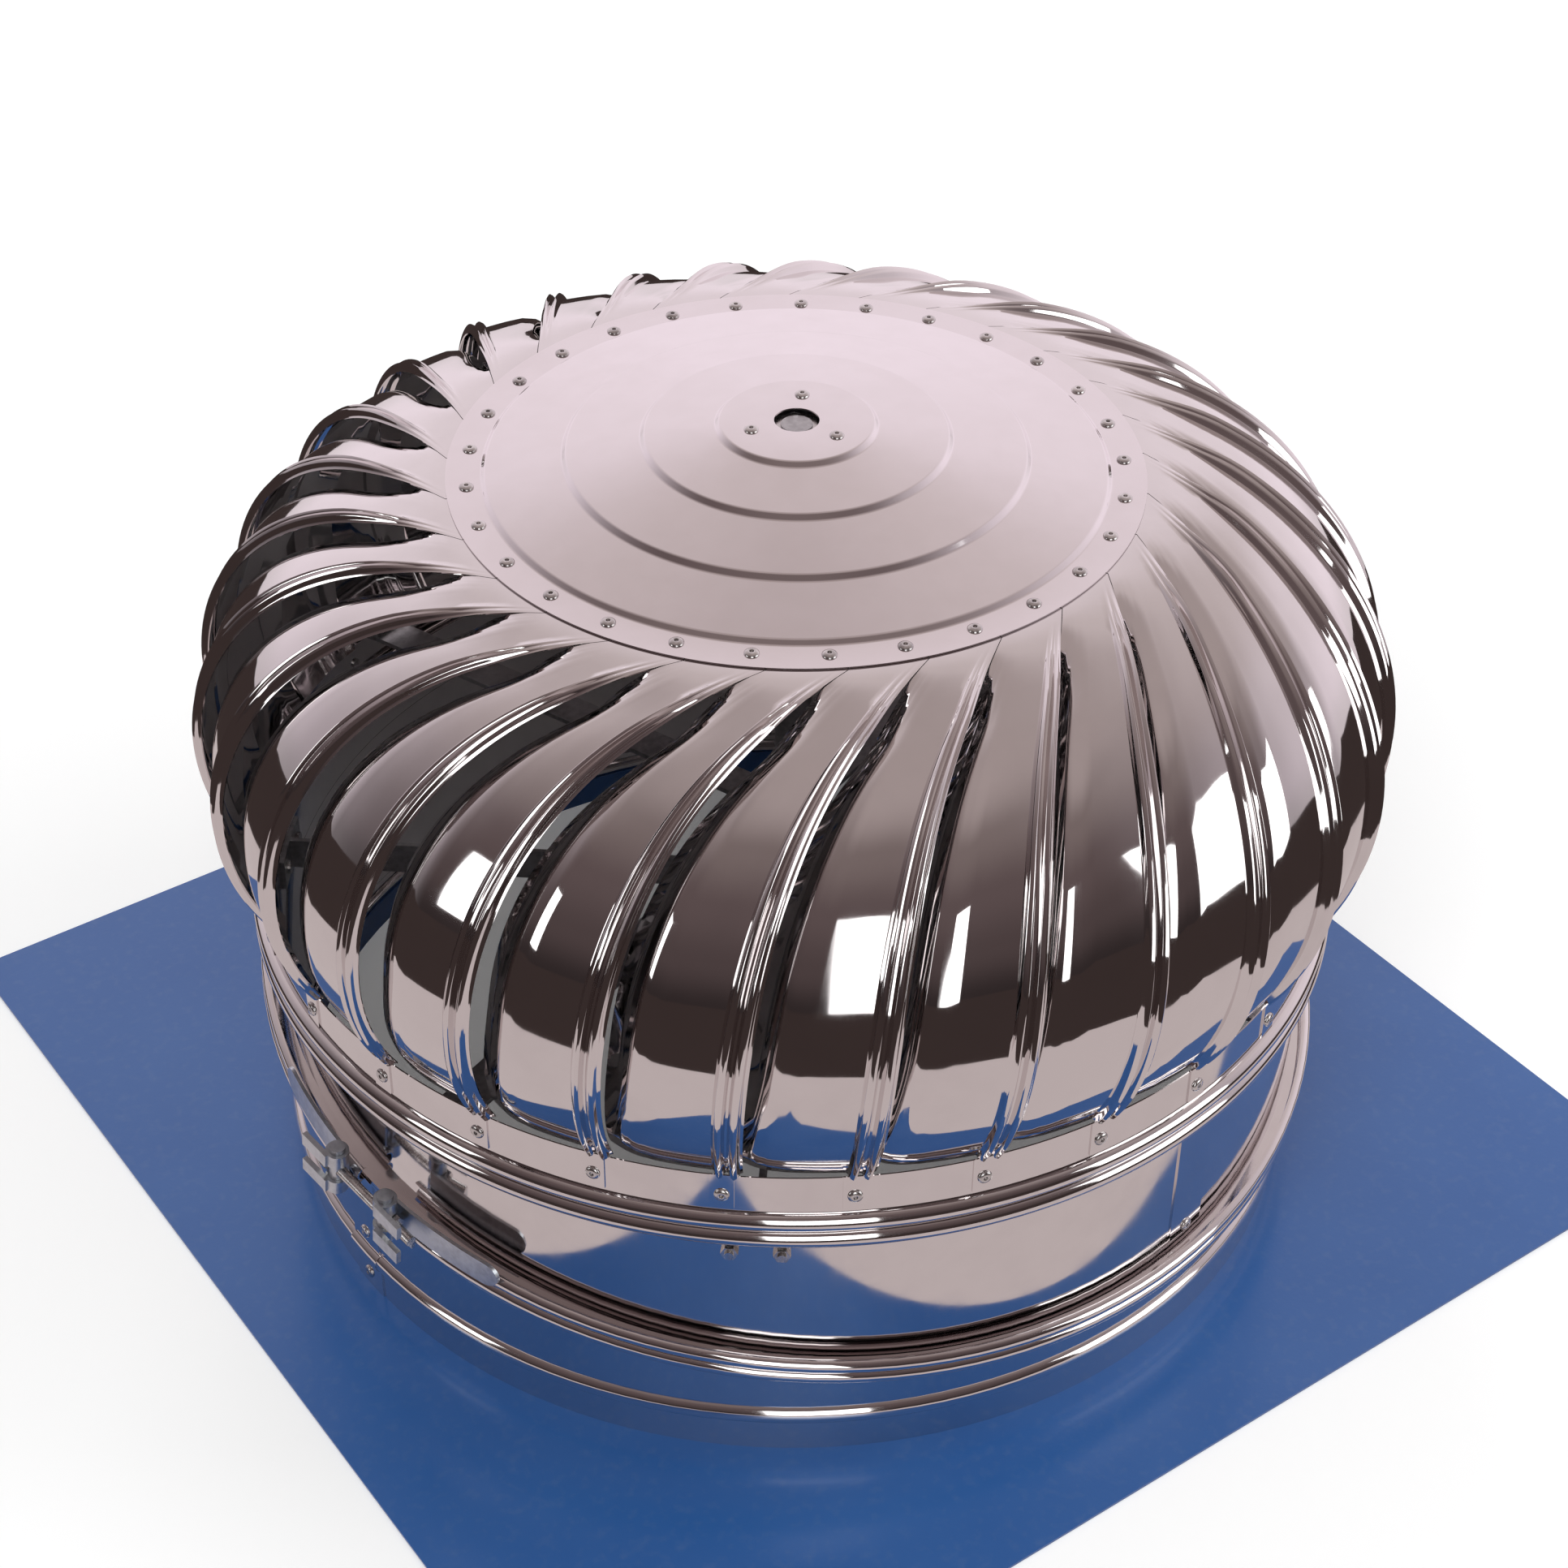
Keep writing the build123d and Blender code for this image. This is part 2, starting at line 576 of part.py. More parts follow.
def vane():
    """One curved blade with two stiffening ribs, from the tab under the cap down to the band."""
    blade = Solid.make_loft([vane_section(MERIDIAN_L * share) for share in STATIONS])
    cap_hole = turned(Pos(CAP_RIVET_R, 0, 0) * bore(RIVET_R, BIG, 0.0), FIRST_RIVET_DEG)
    return drilled(blade + vane_bottom_tab(), [cap_hole, *wall_holes(BAND_R, [(BAND_RIVET_DEG, BAND_RIVET_Z)])])


def rotor_band():
    beads = [(BAND_BEAD_TOP_Z - (i + 0.5) * BAND_BEAD_H, BAND_BEAD_H, BAND_BEAD_BULGE) for i in (1, 0)]
    low = BAND_BEAD_TOP_Z - 2.0 * BAND_BEAD_H - 1.0
    body = revolved(beaded_face(BAND_R, BAND_T, (low, BAND_TOP_Z), beads))
    return drilled(body, wall_holes(BAND_R, [(a, BAND_RIVET_Z) for a in band_rivet_angles()]))


def cap_outline(offset):
    """Stepped dome from the hole to the edge, lowered by offset."""
    level = 0.0
    points = [(CAP_EDGE_R, 0.0), (STEP_RADII[0] + STEP_RUN, 0.0)]
    slopes = (*STEP_SLOPES, 0.0)
    for i, radius in enumerate(STEP_RADII):
        level += STEP_RISERS[i]
        points.append((radius, level))
        following = STEP_RADII[i + 1] + STEP_RUN if i + 1 < len(STEP_RADII) else CAP_HOLE_R
        level += slopes[i]
        points.append((following, level))
    return [(r, 0, CAP_FLANGE_Z + z - offset) for r, z in points]


def top_cap():
    outer = Polyline(*cap_outline(0.0))
    inner = Polyline(*cap_outline(CAP_T))
    ends = [Line(outer @ 0, inner @ 0), Line(outer @ 1, inner @ 1)]
    body = revolved(make_face([*outer.edges(), *inner.edges(), *ends]))
    holes = [turned(Pos(CAP_RIVET_R, 0, 0) * bore(RIVET_R, BIG, 0.0), a) for a in cap_rivet_angles()]
    holes += [turned(Pos(HUB_RIVET_R, 0, 0) * bore(RIVET_R, BIG, 0.0), a) for a in hub_rivet_angles()]
    return drilled(body, holes)


def cap_rivet_angles():
    return [FIRST_RIVET_DEG + i * PITCH_DEG for i in range(VANES)]


def hub_rivet_angles():
    return [HUB_RIVET_DEG + i * 360.0 / HUB_RIVETS for i in range(HUB_RIVETS)]


CAP_TOP_Z = CAP_FLANGE_Z + sum(STEP_RISERS) + sum(STEP_SLOPES)
BAND_RIVET_DEG = VANE_START_DEG + swirl(MERIDIAN_L) + (TAB_FROM + TAB_TO) / 2.0 * PITCH_DEG
BAND_RIVET_Z = BAND_TOP_Z - BAND_TAB_H / 2.0 - 1.0


def cap_rivets():
    grip = CAP_T + VANE_SEAT + VANE_T
    one = Pos(CAP_RIVET_R, 0, CAP_FLANGE_Z) * rivet(grip)
    return Compound(children=[turned(one, a) for a in cap_rivet_angles()])


def hub_rivets():
    one = Pos(HUB_RIVET_R, 0, CAP_TOP_Z) * rivet(CAP_T + HOUSING_FLANGE_T)
    return Compound(children=[turned(one, a) for a in hub_rivet_angles()])


def band_rivet_angles():
    return [BAND_RIVET_DEG + i * PITCH_DEG for i in range(VANES)]


def band_rivets():
    one = rivet(BAND_T + VANE_T)
    return Compound(children=[radial(one, BAND_R + VANE_T, a, BAND_RIVET_Z) for a in band_rivet_angles()])


def hub_housing():
    """Cup for the upper bearing with a flange riveted under the cap."""
    top = CAP_TOP_Z - CAP_T
    low = UPPER_BEARING_Z - BEARING_H / 2.0
    seat = UPPER_BEARING_Z + BEARING_H / 2.0
    wall = tube(BEARING_R + HOUSING_WALL, BEARING_R, top - low, low)
    flange = tube(HOUSING_FLANGE_R, BEARING_R - 2.0, HOUSING_FLANGE_T, top - HOUSING_FLANGE_T)
    lip = tube(BEARING_R + 1.0, BEARING_R - 2.0, 2.0, seat)
    holes = [turned(Pos(HUB_RIVET_R, 0, 0) * bore(RIVET_R, BIG, 0.0), a) for a in hub_rivet_angles()]
    return drilled(wall + flange + lip, holes)


def rotor_cross():
    """Lower cross of the rotor: cup for the lower bearing, flat arms and lips on the band."""
    low = LOWER_BEARING_Z - BEARING_H / 2.0
    cup = tube(BEARING_R + HOUSING_WALL, BEARING_R, BEARING_H + 2.0, low)
    cup += tube(BEARING_R + 1.0, BEARING_R - 2.0, 2.0, low + BEARING_H)
    body = cup
    inside = BAND_R - BAND_T
    for i in range(ROTOR_ARMS):
        length = inside - BEARING_R - 1.0
        arm = Pos(BEARING_R + 1.0 + length / 2.0, 0, ROTOR_ARM_Z) * Box(length + 4.0, ROTOR_ARM_W, ROTOR_ARM_T)
        arm &= tube(inside - 1.0, BEARING_R + 1.0, 4.0 * ROTOR_ARM_T, ROTOR_ARM_Z - 2.0 * ROTOR_ARM_T)
        lip = Pos(inside, 0, ROTOR_ARM_Z + ROTOR_ARM_LIP / 2.0 - ROTOR_ARM_T / 2.0)
        lip *= Box(20.0, ROTOR_ARM_W, ROTOR_ARM_LIP)
        lip &= tube(inside, inside - 2.0, BIG, 0.0)
        body += turned(arm + lip, ROTOR_ARM_FIRST_DEG + i * 360.0 / ROTOR_ARMS)
    return body


NODES = {
    "base_plate": base_plate,
    "base_collar": base_collar,
    "collar_rivets": collar_rivets,
    "clamp_band": clamp_band,
    "latch_strap_left": lambda: latch_strap(-1),
    "latch_strap_right": lambda: latch_strap(1),
    "latch_trunnions": latch_trunnions,
    "latch_bolt": latch_bolt,
    "latch_nut": latch_nut,
    "neck_ring": neck_ring,
    "neck_rivets": neck_rivets,
    "neck_cross": neck_cross,
    "neck_screws": neck_screws,
    "spindle": spindle,
    "spindle_nuts": spindle_nuts,
    "upper_inner_race": lambda: inner_race(UPPER_BEARING_Z),
    "lower_inner_race": lambda: inner_race(LOWER_BEARING_Z),
    "upper_balls": lambda: ball_set(UPPER_BEARING_Z),
    "upper_cage": lambda: ball_cage(UPPER_BEARING_Z),
    "lower_balls": lambda: ball_set(LOWER_BEARING_Z),
    "lower_cage": lambda: ball_cage(LOWER_BEARING_Z),
    "upper_outer_race": lambda: outer_race(UPPER_BEARING_Z),
    "lower_outer_race": lambda: outer_race(LOWER_BEARING_Z),
    "top_cap": top_cap,
    "cap_rivets": cap_rivets,
    "hub_housing": hub_housing,
    "hub_rivets": hub_rivets,
    "rotor_band": rotor_band,
    "band_rivets": band_rivets,
    "rotor_cross": rotor_cross,
}


def main():
    os.makedirs("parts", exist_ok=True)
    for name, build in NODES.items():
        export_step(build(), f"parts/{name}.step")
    blade = vane()
    for i in range(VANES):
        export_step(turned(blade, i * PITCH_DEG), f"parts/vane_{i + 1:02d}.step")


if __name__ == "__main__":
    main()
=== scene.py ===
"""Looks of a roof turbine ventilator: polished rotor, slanted clamped throat and a blue flashing plate."""

import logging
import math
from dataclasses import dataclass, field
from enum import Enum

import bpy
from mathutils import Matrix, Vector


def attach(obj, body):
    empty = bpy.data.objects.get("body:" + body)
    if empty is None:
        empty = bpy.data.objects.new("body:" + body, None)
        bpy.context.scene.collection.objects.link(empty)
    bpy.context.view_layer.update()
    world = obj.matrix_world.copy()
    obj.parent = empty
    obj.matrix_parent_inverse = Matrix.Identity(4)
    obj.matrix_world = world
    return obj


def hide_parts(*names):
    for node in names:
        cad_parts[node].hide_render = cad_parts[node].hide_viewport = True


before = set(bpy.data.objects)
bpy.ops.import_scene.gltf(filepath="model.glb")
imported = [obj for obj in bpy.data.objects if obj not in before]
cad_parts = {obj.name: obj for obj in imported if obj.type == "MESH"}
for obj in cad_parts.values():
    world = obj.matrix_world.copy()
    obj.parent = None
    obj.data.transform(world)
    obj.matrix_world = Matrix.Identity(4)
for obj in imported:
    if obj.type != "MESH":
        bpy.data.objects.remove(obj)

logging.basicConfig(level=logging.INFO, format="%(levelname)s %(message)s")
log = logging.getLogger("ventilator")

MM = 0.001
MERGE = 1e-6
Profile = list[tuple[float, float]]
Ends = tuple[float, float]
Colour = tuple[float, float, float]


class Body(Enum):
    """Rigid bodies that a piece can ride on."""

    BASE = "base"
    NECK = "neck"
    ROTOR = "rotor"
    UPPER_ROW = "upper_ball_row"
    LOWER_ROW = "lower_ball_row"


class Slot(Enum):
    """Material slots of the record."""

    BLUE = "blue_sheet"
    VANE = "vane_steel"
    CAP = "cap_steel"
    SHEET = "sheet_steel"
    LATCH = "latch_zinc"
    FASTENER = "fastener_steel"
    BEARING = "bearing_steel"
    CAGE = "cage_brass"
    STRUCTURE = "structure_steel"


# ---------------------------------------------------------------- shared shader effects
def new_group(name: str, value: tuple[str, float], result: str) -> bpy.types.NodeTree:
    """Make an empty shader node group that takes a place and one value, and gives one value.

    Args:
        name: Name of the group.
        value: Name and default of the value it takes.
        result: Name of the value it gives.

    Returns:
        The node group, with its input and output nodes added.
    """
    tree = bpy.data.node_groups.new(name, "ShaderNodeTree")
    tree.interface.new_socket(name="Vector", in_out="INPUT", socket_type="NodeSocketVector")
    socket = tree.interface.new_socket(name=value[0], in_out="INPUT", socket_type="NodeSocketFloat")
    socket.default_value = value[1]
    tree.interface.new_socket(name=result, in_out="OUTPUT", socket_type="NodeSocketFloat")
    tree.nodes.new("NodeGroupInput").name = "in"
    tree.nodes.new("NodeGroupOutput").name = "out"
    return tree


def multiply(tree: bpy.types.NodeTree, factor: float = 1.0) -> bpy.types.Node:
    """Place a multiply node whose second input is a factor until it is linked."""
    node = tree.nodes.new("ShaderNodeMath")
    node.operation = "MULTIPLY"
    node.inputs[1].default_value = factor
    return node


def ranged(tree: bpy.types.NodeTree, value: bpy.types.NodeSocket, **ends: Ends) -> bpy.types.Node:
    """Place a map range node on a value, with the two ends of From, of To or of both."""
    node = tree.nodes.new("ShaderNodeMapRange")
    for end, (low, high) in ends.items():
        node.inputs[f"{end} Min"].default_value = low
        node.inputs[f"{end} Max"].default_value = high
    tree.links.new(value, node.inputs["Value"])
    return node


@dataclass
class ShaderEffects:
    """Node groups that several finishes share."""

    groups: dict[str, bpy.types.NodeTree] = field(default_factory=dict)
    fine_ratio: float = 7.0
    smudge_span: Ends = (0.18, 0.42)
    grain_stretch: float = 0.03
    level_span: Ends = (0.5, 1.0)
    speck_scale: float = 160.0
    speck_span: Ends = (0.52, 0.78)

    def build(self) -> None:
        """Make every group once."""
        self.groups["smudge"] = self._smudge()
        self.groups["ripple"] = self._ripple()
        self.groups["brush"] = self._brush()
        self.groups["dust"] = self._dust()

    def _smudge(self) -> bpy.types.NodeTree:
        """Handling marks: a soft mask that changes over the surface."""
        tree = new_group("handling_smudge", ("Scale", 9.0), "Mask")
        n, link = tree.nodes, tree.links.new
        wide = n.new("ShaderNodeTexNoise")
        fine = n.new("ShaderNodeTexNoise")
        wide.inputs["Detail"].default_value = 3.0
        fine.inputs["Detail"].default_value = 6.0
        ratio = multiply(tree, self.fine_ratio)
        mix = multiply(tree)
        ramp = ranged(tree, mix.outputs[0], From=self.smudge_span)
        for texture in (wide, fine):
            link(n["in"].outputs["Vector"], texture.inputs["Vector"])
        link(n["in"].outputs["Scale"], wide.inputs["Scale"])
        link(n["in"].outputs["Scale"], ratio.inputs[0])
        link(ratio.outputs[0], fine.inputs["Scale"])
        link(wide.outputs["Fac"], mix.inputs[0])
        link(fine.outputs["Fac"], mix.inputs[1])
        link(ramp.outputs["Result"], n["out"].inputs["Mask"])
        return tree

    def _ripple(self) -> bpy.types.NodeTree:
        """Slow waviness of formed thin sheet, as a height."""
        tree = new_group("sheet_ripple", ("Scale", 14.0), "Height")
        n, link = tree.nodes, tree.links.new
        wave = n.new("ShaderNodeTexNoise")
        wave.inputs["Detail"].default_value = 1.0
        wave.inputs["Roughness"].default_value = 0.35
        link(n["in"].outputs["Vector"], wave.inputs["Vector"])
        link(n["in"].outputs["Scale"], wave.inputs["Scale"])
        link(wave.outputs["Fac"], n["out"].inputs["Height"])
        return tree

    def _brush(self) -> bpy.types.NodeTree:
        """Fine drawn grain along one axis, as a value for roughness and height."""
        tree = new_group("drawn_grain", ("Density", 900.0), "Grain")
        n, link = tree.nodes, tree.links.new
        stretch = n.new("ShaderNodeMapping")
        stretch.inputs["Scale"].default_value = (1.0, 1.0, self.grain_stretch)
        grain = n.new("ShaderNodeTexNoise")
        grain.inputs["Detail"].default_value = 2.0
        link(n["in"].outputs["Vector"], stretch.inputs["Vector"])
        link(stretch.outputs["Vector"], grain.inputs["Vector"])
        link(n["in"].outputs["Density"], grain.inputs["Scale"])
        link(grain.outputs["Fac"], n["out"].inputs["Grain"])
        return tree

    def _dust(self) -> bpy.types.NodeTree:
        """Settled dust on faces that look up, as a mask."""
        tree = new_group("settled_dust", ("Amount", 0.2), "Mask")
        n, link = tree.nodes, tree.links.new
        geometry = n.new("ShaderNodeNewGeometry")
        split = n.new("ShaderNodeSeparateXYZ")
        up = ranged(tree, split.outputs["Z"], From=self.level_span)
        specks = n.new("ShaderNodeTexNoise")
        specks.inputs["Scale"].default_value = self.speck_scale
        specks.inputs["Detail"].default_value = 8.0
        cut = ranged(tree, specks.outputs["Fac"], From=self.speck_span)
        both = multiply(tree)
        amount = multiply(tree)
        link(geometry.outputs["Normal"], split.inputs[0])
        link(n["in"].outputs["Vector"], specks.inputs["Vector"])
        link(up.outputs["Result"], both.inputs[0])
        link(cut.outputs["Result"], both.inputs[1])
        link(both.outputs[0], amount.inputs[0])
        link(n["in"].outputs["Amount"], amount.inputs[1])
        link(amount.outputs[0], n["out"].inputs["Mask"])
        return tree


@dataclass
class Recipe:
    """A material under construction, with short helpers for its nodes."""

    name: str
    effects: ShaderEffects

    def __post_init__(self) -> None:
        """Start the material with its Principled shader and Object coordinates."""
        self.material = bpy.data.materials.new(self.name)
        self.material.use_nodes = True
        self.tree = self.material.node_tree
        self.shader = self.tree.nodes["Principled BSDF"]
        self.place = self.tree.nodes.new("ShaderNodeTexCoord").outputs["Object"]

    def set(self, **values: float | tuple[float, ...]) -> None:
        """Set plain values on the shader's own sockets, with underscores for spaces."""
        for label, value in values.items():
            self.shader.inputs[label.replace("_", " ")].default_value = value

    def effect(self, name: str, **values: float) -> bpy.types.Node:
        """Place a shared effect group and set its inputs.

        Args:
            name: Key of the group.
            **values: Values of its inputs.

        Returns:
            The group node.
        """
        node = self.tree.nodes.new("ShaderNodeGroup")
        node.node_tree = self.effects.groups[name]
        self.tree.links.new(self.place, node.inputs["Vector"])
        for label, value in values.items():
            node.inputs[label].default_value = value
        return node

    def span(self, value: bpy.types.NodeSocket, low: float, high: float) -> bpy.types.NodeSocket:
        """Map a 0 to 1 value onto low to high.

        Args:
            value: Socket to read.
            low: Result at 0.
            high: Result at 1.

        Returns:
            The mapped socket.
        """
        return ranged(self.tree, value, To=(low, high)).outputs["Result"]

    def blend(self, mask: bpy.types.NodeSocket, first: Colour, second: Colour) -> bpy.types.NodeSocket:
        """Mix two colours by a mask.

        Args:
            mask: Socket that runs from 0 to 1.
            first: Colour at 0.
            second: Colour at 1.

        Returns:
            The mixed colour.
        """
        node = self.tree.nodes.new("ShaderNodeMix")
        node.data_type = "RGBA"
        node.inputs[6].default_value = (*first, 1.0)
        node.inputs[7].default_value = (*second, 1.0)
        self.tree.links.new(mask, node.inputs[0])
        return node.outputs[2]

    def feed(self, label: str, value: bpy.types.NodeSocket) -> None:
        """Link a socket to one of the shader's inputs."""
        self.tree.links.new(value, self.shader.inputs[label])

    def bump(self, height: bpy.types.NodeSocket, distance: float) -> None:
        """Feed a height to the shader's normal through a Bump node.

        Args:
            height: Height socket.
            distance: Height in metres at value 1.
        """
        node = self.tree.nodes.new("ShaderNodeBump")
        node.inputs["Distance"].default_value = distance
        node.inputs["Strength"].default_value = 1.0
        self.tree.links.new(height, node.inputs["Height"])
        self.feed("Normal", node.outputs["Normal"])


@dataclass(frozen=True)
class PolishedSheet:
    """Mirror polished stainless sheet with handling marks and slow ripples."""

    name: str
    tint: Colour = (0.80, 0.765, 0.765)
    dull: Colour = (0.765, 0.73, 0.73)
    smooth: float = 0.04
    smudged: float = 0.085
    marks_scale: float = 8.0
    ripple_scale: float = 14.0
    ripple: float = 0.0006

    def make(self, effects: ShaderEffects) -> bpy.types.Material:
        """Build the material and return it."""
        recipe = Recipe(self.name, effects)
        recipe.set(Metallic=1.0)
        marks = recipe.effect("smudge", Scale=self.marks_scale)
        recipe.feed("Roughness", recipe.span(marks.outputs["Mask"], self.smooth, self.smudged))
        recipe.feed("Base Color", recipe.blend(marks.outputs["Mask"], self.tint, self.dull))
        wave = recipe.effect("ripple", Scale=self.ripple_scale)
        recipe.bump(wave.outputs["Height"], self.ripple)
        return recipe.material


@dataclass(frozen=True)
class GlossPaint:
    """Glossy blue paint on flat sheet, with fine orange peel and a little dust."""

    name: str
    colour: Colour = (0.020, 0.098, 0.315)
    worn: Colour = (0.026, 0.108, 0.330)
    dusty: Colour = (0.20, 0.25, 0.33)
    smooth: float = 0.28
    rubbed: float = 0.34
    coat: float = 0.6
    coat_rough: float = 0.16
    marks_scale: float = 2.0
    dust: float = 0.10
    peel_scale: float = 420.0
    peel_h: float = 0.00006

    def make(self, effects: ShaderEffects) -> bpy.types.Material:
        """Build the material and return it."""
        recipe = Recipe(self.name, effects)
        recipe.set(Coat_Weight=self.coat, Coat_Roughness=self.coat_rough, Specular_IOR_Level=0.5)
        marks = recipe.effect("smudge", Scale=self.marks_scale)
        dust = recipe.effect("dust", Amount=self.dust)
        paint = recipe.blend(marks.outputs["Mask"], self.colour, self.worn)
        cover = recipe.tree.nodes.new("ShaderNodeMix")
        cover.data_type = "RGBA"
        cover.inputs[7].default_value = (*self.dusty, 1.0)
        recipe.tree.links.new(paint, cover.inputs[6])
        recipe.tree.links.new(dust.outputs["Mask"], cover.inputs[0])
        recipe.feed("Base Color", cover.outputs[2])
        recipe.feed("Roughness", recipe.span(marks.outputs["Mask"], self.smooth, self.rubbed))
        peel = recipe.effect("ripple", Scale=self.peel_scale)
        recipe.bump(peel.outputs["Height"], self.peel_h)
        return recipe.material


@dataclass(frozen=True)
class PlatedSteel:
    """Dull plated or drawn steel with fine grain."""

    name: str
    bright: Colour = (0.60, 0.62, 0.64)
    dark: Colour = (0.40, 0.41, 0.43)
    smooth: float = 0.24
    rough: float = 0.46
    density: float = 900.0
    grain_h: float = 0.00001
    marks_scale: float = 40.0

    def make(self, effects: ShaderEffects) -> bpy.types.Material:
        """Build the material and return it."""
        recipe = Recipe(self.name, effects)
        recipe.set(Metallic=1.0)
        marks = recipe.effect("smudge", Scale=self.marks_scale)
        grain = recipe.effect("brush", Density=self.density)
        recipe.feed("Base Color", recipe.blend(marks.outputs["Mask"], self.bright, self.dark))
        recipe.feed("Roughness", recipe.span(grain.outputs["Grain"], self.smooth, self.rough))
        recipe.bump(grain.outputs["Grain"], self.grain_h)
        return recipe.material


Finish = PolishedSheet | GlossPaint | PlatedSteel

FINISHES: dict[Slot, Finish] = {
    Slot.BLUE: GlossPaint("blue_gloss_paint"),
    Slot.VANE: PolishedSheet("vane_polish", ripple_scale=11.0, ripple=0.0005),
    Slot.CAP: PolishedSheet("cap_polish", tint=(0.86, 0.815, 0.83), dull=(0.83, 0.785, 0.795), smooth=0.09,
                            smudged=0.13, ripple_scale=5.0, ripple=0.0003),
    Slot.SHEET: PolishedSheet("throat_polish", smooth=0.05, smudged=0.10, ripple_scale=6.0, ripple=0.0007),
    Slot.LATCH: PlatedSteel("latch_plate", (0.66, 0.70, 0.74), (0.50, 0.53, 0.57), smooth=0.24,
                            rough=0.38, grain_h=0.000004),
    Slot.FASTENER: PlatedSteel("fastener_plate", (0.74, 0.72, 0.71), (0.42, 0.40, 0.40), smooth=0.16,
                               rough=0.34),
    Slot.BEARING: PlatedSteel("bearing_ground", (0.66, 0.66, 0.68), (0.52, 0.52, 0.54), smooth=0.10,
                              rough=0.2),
    Slot.CAGE: PlatedSteel("cage_pressed", (0.70, 0.52, 0.24), (0.52, 0.37, 0.15), smooth=0.25, rough=0.4),
    Slot.STRUCTURE: PlatedSteel("cross_satin", (0.56, 0.56, 0.57), (0.38, 0.38, 0.39), smooth=0.28,
                                rough=0.5),
}


@dataclass
class Paintshop:
    """Makes each material once and dresses pieces with it."""

    effects: ShaderEffects = field(default_factory=ShaderEffects)
    materials: dict[Slot, bpy.types.Material] = field(default_factory=dict)

    def open(self) -> None:
        """Build the effects and every finish."""
        self.effects.build()
        self.materials = {slot: finish.make(self.effects) for slot, finish in FINISHES.items()}

    def dress(self, piece: bpy.types.Object, slot: Slot) -> None:
        """Give a piece the one material of a slot."""
        piece.data.materials.clear()
        piece.data.materials.append(self.materials[slot])

    def dress_node(self, node: str, slot: Slot) -> None:
        """Give a sub-part that shows as it is the material of a slot."""
        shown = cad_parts[node]
        shown.data.materials.clear()
        shown.data.materials.append(self.materials[slot])


# ---------------------------------------------------------------- modelling helpers
def pick_only(*pieces: bpy.types.Object) -> None:
    """Deselect everything, then select the given objects and make the first one active."""
    bpy.ops.object.select_all(action="DESELECT")
    for piece in pieces:
        piece.select_set(True)
    bpy.context.view_layer.objects.active = pieces[0]


def edit_all() -> None:
    """Open the active object in edit mode with all of its mesh selected."""
    bpy.ops.object.mode_set(mode="EDIT")
    bpy.ops.mesh.select_all(action="SELECT")


def settle(piece: bpy.types.Object, angle: float = 32.0) -> bpy.types.Object:
    """Shade a finished piece smooth below an edge angle.

    Args:
        piece: Piece to shade.
        angle: Largest angle in degrees that still looks smooth.

    Returns:
        The same piece.
    """
    pick_only(piece)
    bpy.ops.object.shade_smooth_by_angle(angle=math.radians(angle))
    return piece


def merged_copy(node: str, name: str) -> bpy.types.Object:
    """Copy a sub-part with its loose triangles welded, so that it shades as one sheet.

    Args:
        node: Name of the sub-part.
        name: Name of the new piece.

    Returns:
        The new piece, which stands for the sub-part.
    """
    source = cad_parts[node]
    piece = bpy.data.objects.new(name, source.data.copy())
    bpy.context.scene.collection.objects.link(piece)
    pick_only(piece)
    if piece.data.has_custom_normals:
        bpy.ops.mesh.customdata_custom_splitnormals_clear()
    edit_all()
    bpy.ops.mesh.remove_doubles(threshold=2e-6)
    bpy.ops.mesh.tris_convert_to_quads(face_threshold=math.radians(1.0), shape_threshold=math.radians(40.0))
    bpy.ops.object.mode_set(mode="OBJECT")
    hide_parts(node)
    return settle(piece)


def spun(name: str, profile: Profile, steps: int, closed: bool = True) -> bpy.types.Object:
    """Spin an outline about the vertical axis.

    Args:
        name: Name of the new piece.
        profile: Radius and height of each corner, in millimetres.
        steps: Number of steps in the full turn.
        closed: Whether the last corner joins the first.

    Returns:
        The new piece.
    """
    bpy.ops.object.select_all(action="DESELECT")
    bpy.ops.mesh.primitive_plane_add(size=0.001)
    piece = bpy.context.active_object
    piece.name = name
    edit_all()
    bpy.ops.mesh.merge(type="CENTER")
    bpy.ops.transform.translate(value=(profile[0][0] * MM, 0.0, profile[0][1] * MM))
    path = profile + profile[:1] if closed else profile
    for (r0, z0), (r1, z1) in zip(path, path[1:]):
        step = ((r1 - r0) * MM, 0.0, (z1 - z0) * MM)
        bpy.ops.mesh.extrude_region_move(TRANSFORM_OT_translate={"value": step})
    bpy.ops.mesh.select_all(action="SELECT")
    bpy.ops.mesh.remove_doubles(threshold=MERGE)
    bpy.ops.mesh.spin(steps=steps, angle=math.tau, center=(0, 0, 0), axis=(0, 0, 1))
    bpy.ops.mesh.select_all(action="SELECT")
    bpy.ops.mesh.remove_doubles(threshold=MERGE)
    bpy.ops.mesh.normals_make_consistent(inside=False)
    bpy.ops.object.mode_set(mode="OBJECT")
    return piece


def place_copy(source: bpy.types.Object, name: str, move: Matrix) -> bpy.types.Object:
    """Copy a piece with its own mesh and set it in place through its mesh.

    Args:
        source: Piece to copy.
        name: Name of the copy.
        move: Where the copy goes.

    Returns:
        The copy, with its object at the origin.
    """
    piece = bpy.data.objects.new(name, source.data.copy())
    bpy.context.scene.collection.objects.link(piece)
    piece.data.transform(move)
    return piece


def joined(pieces: list[bpy.types.Object], name: str) -> bpy.types.Object:
    """Join pieces into one object.

    Args:
        pieces: Pieces to join, at the origin.
        name: Name of the result.

    Returns:
        The joined object.
    """
    pick_only(*pieces)
    bpy.ops.object.join()
    result = bpy.context.active_object
    result.name = name
    return result


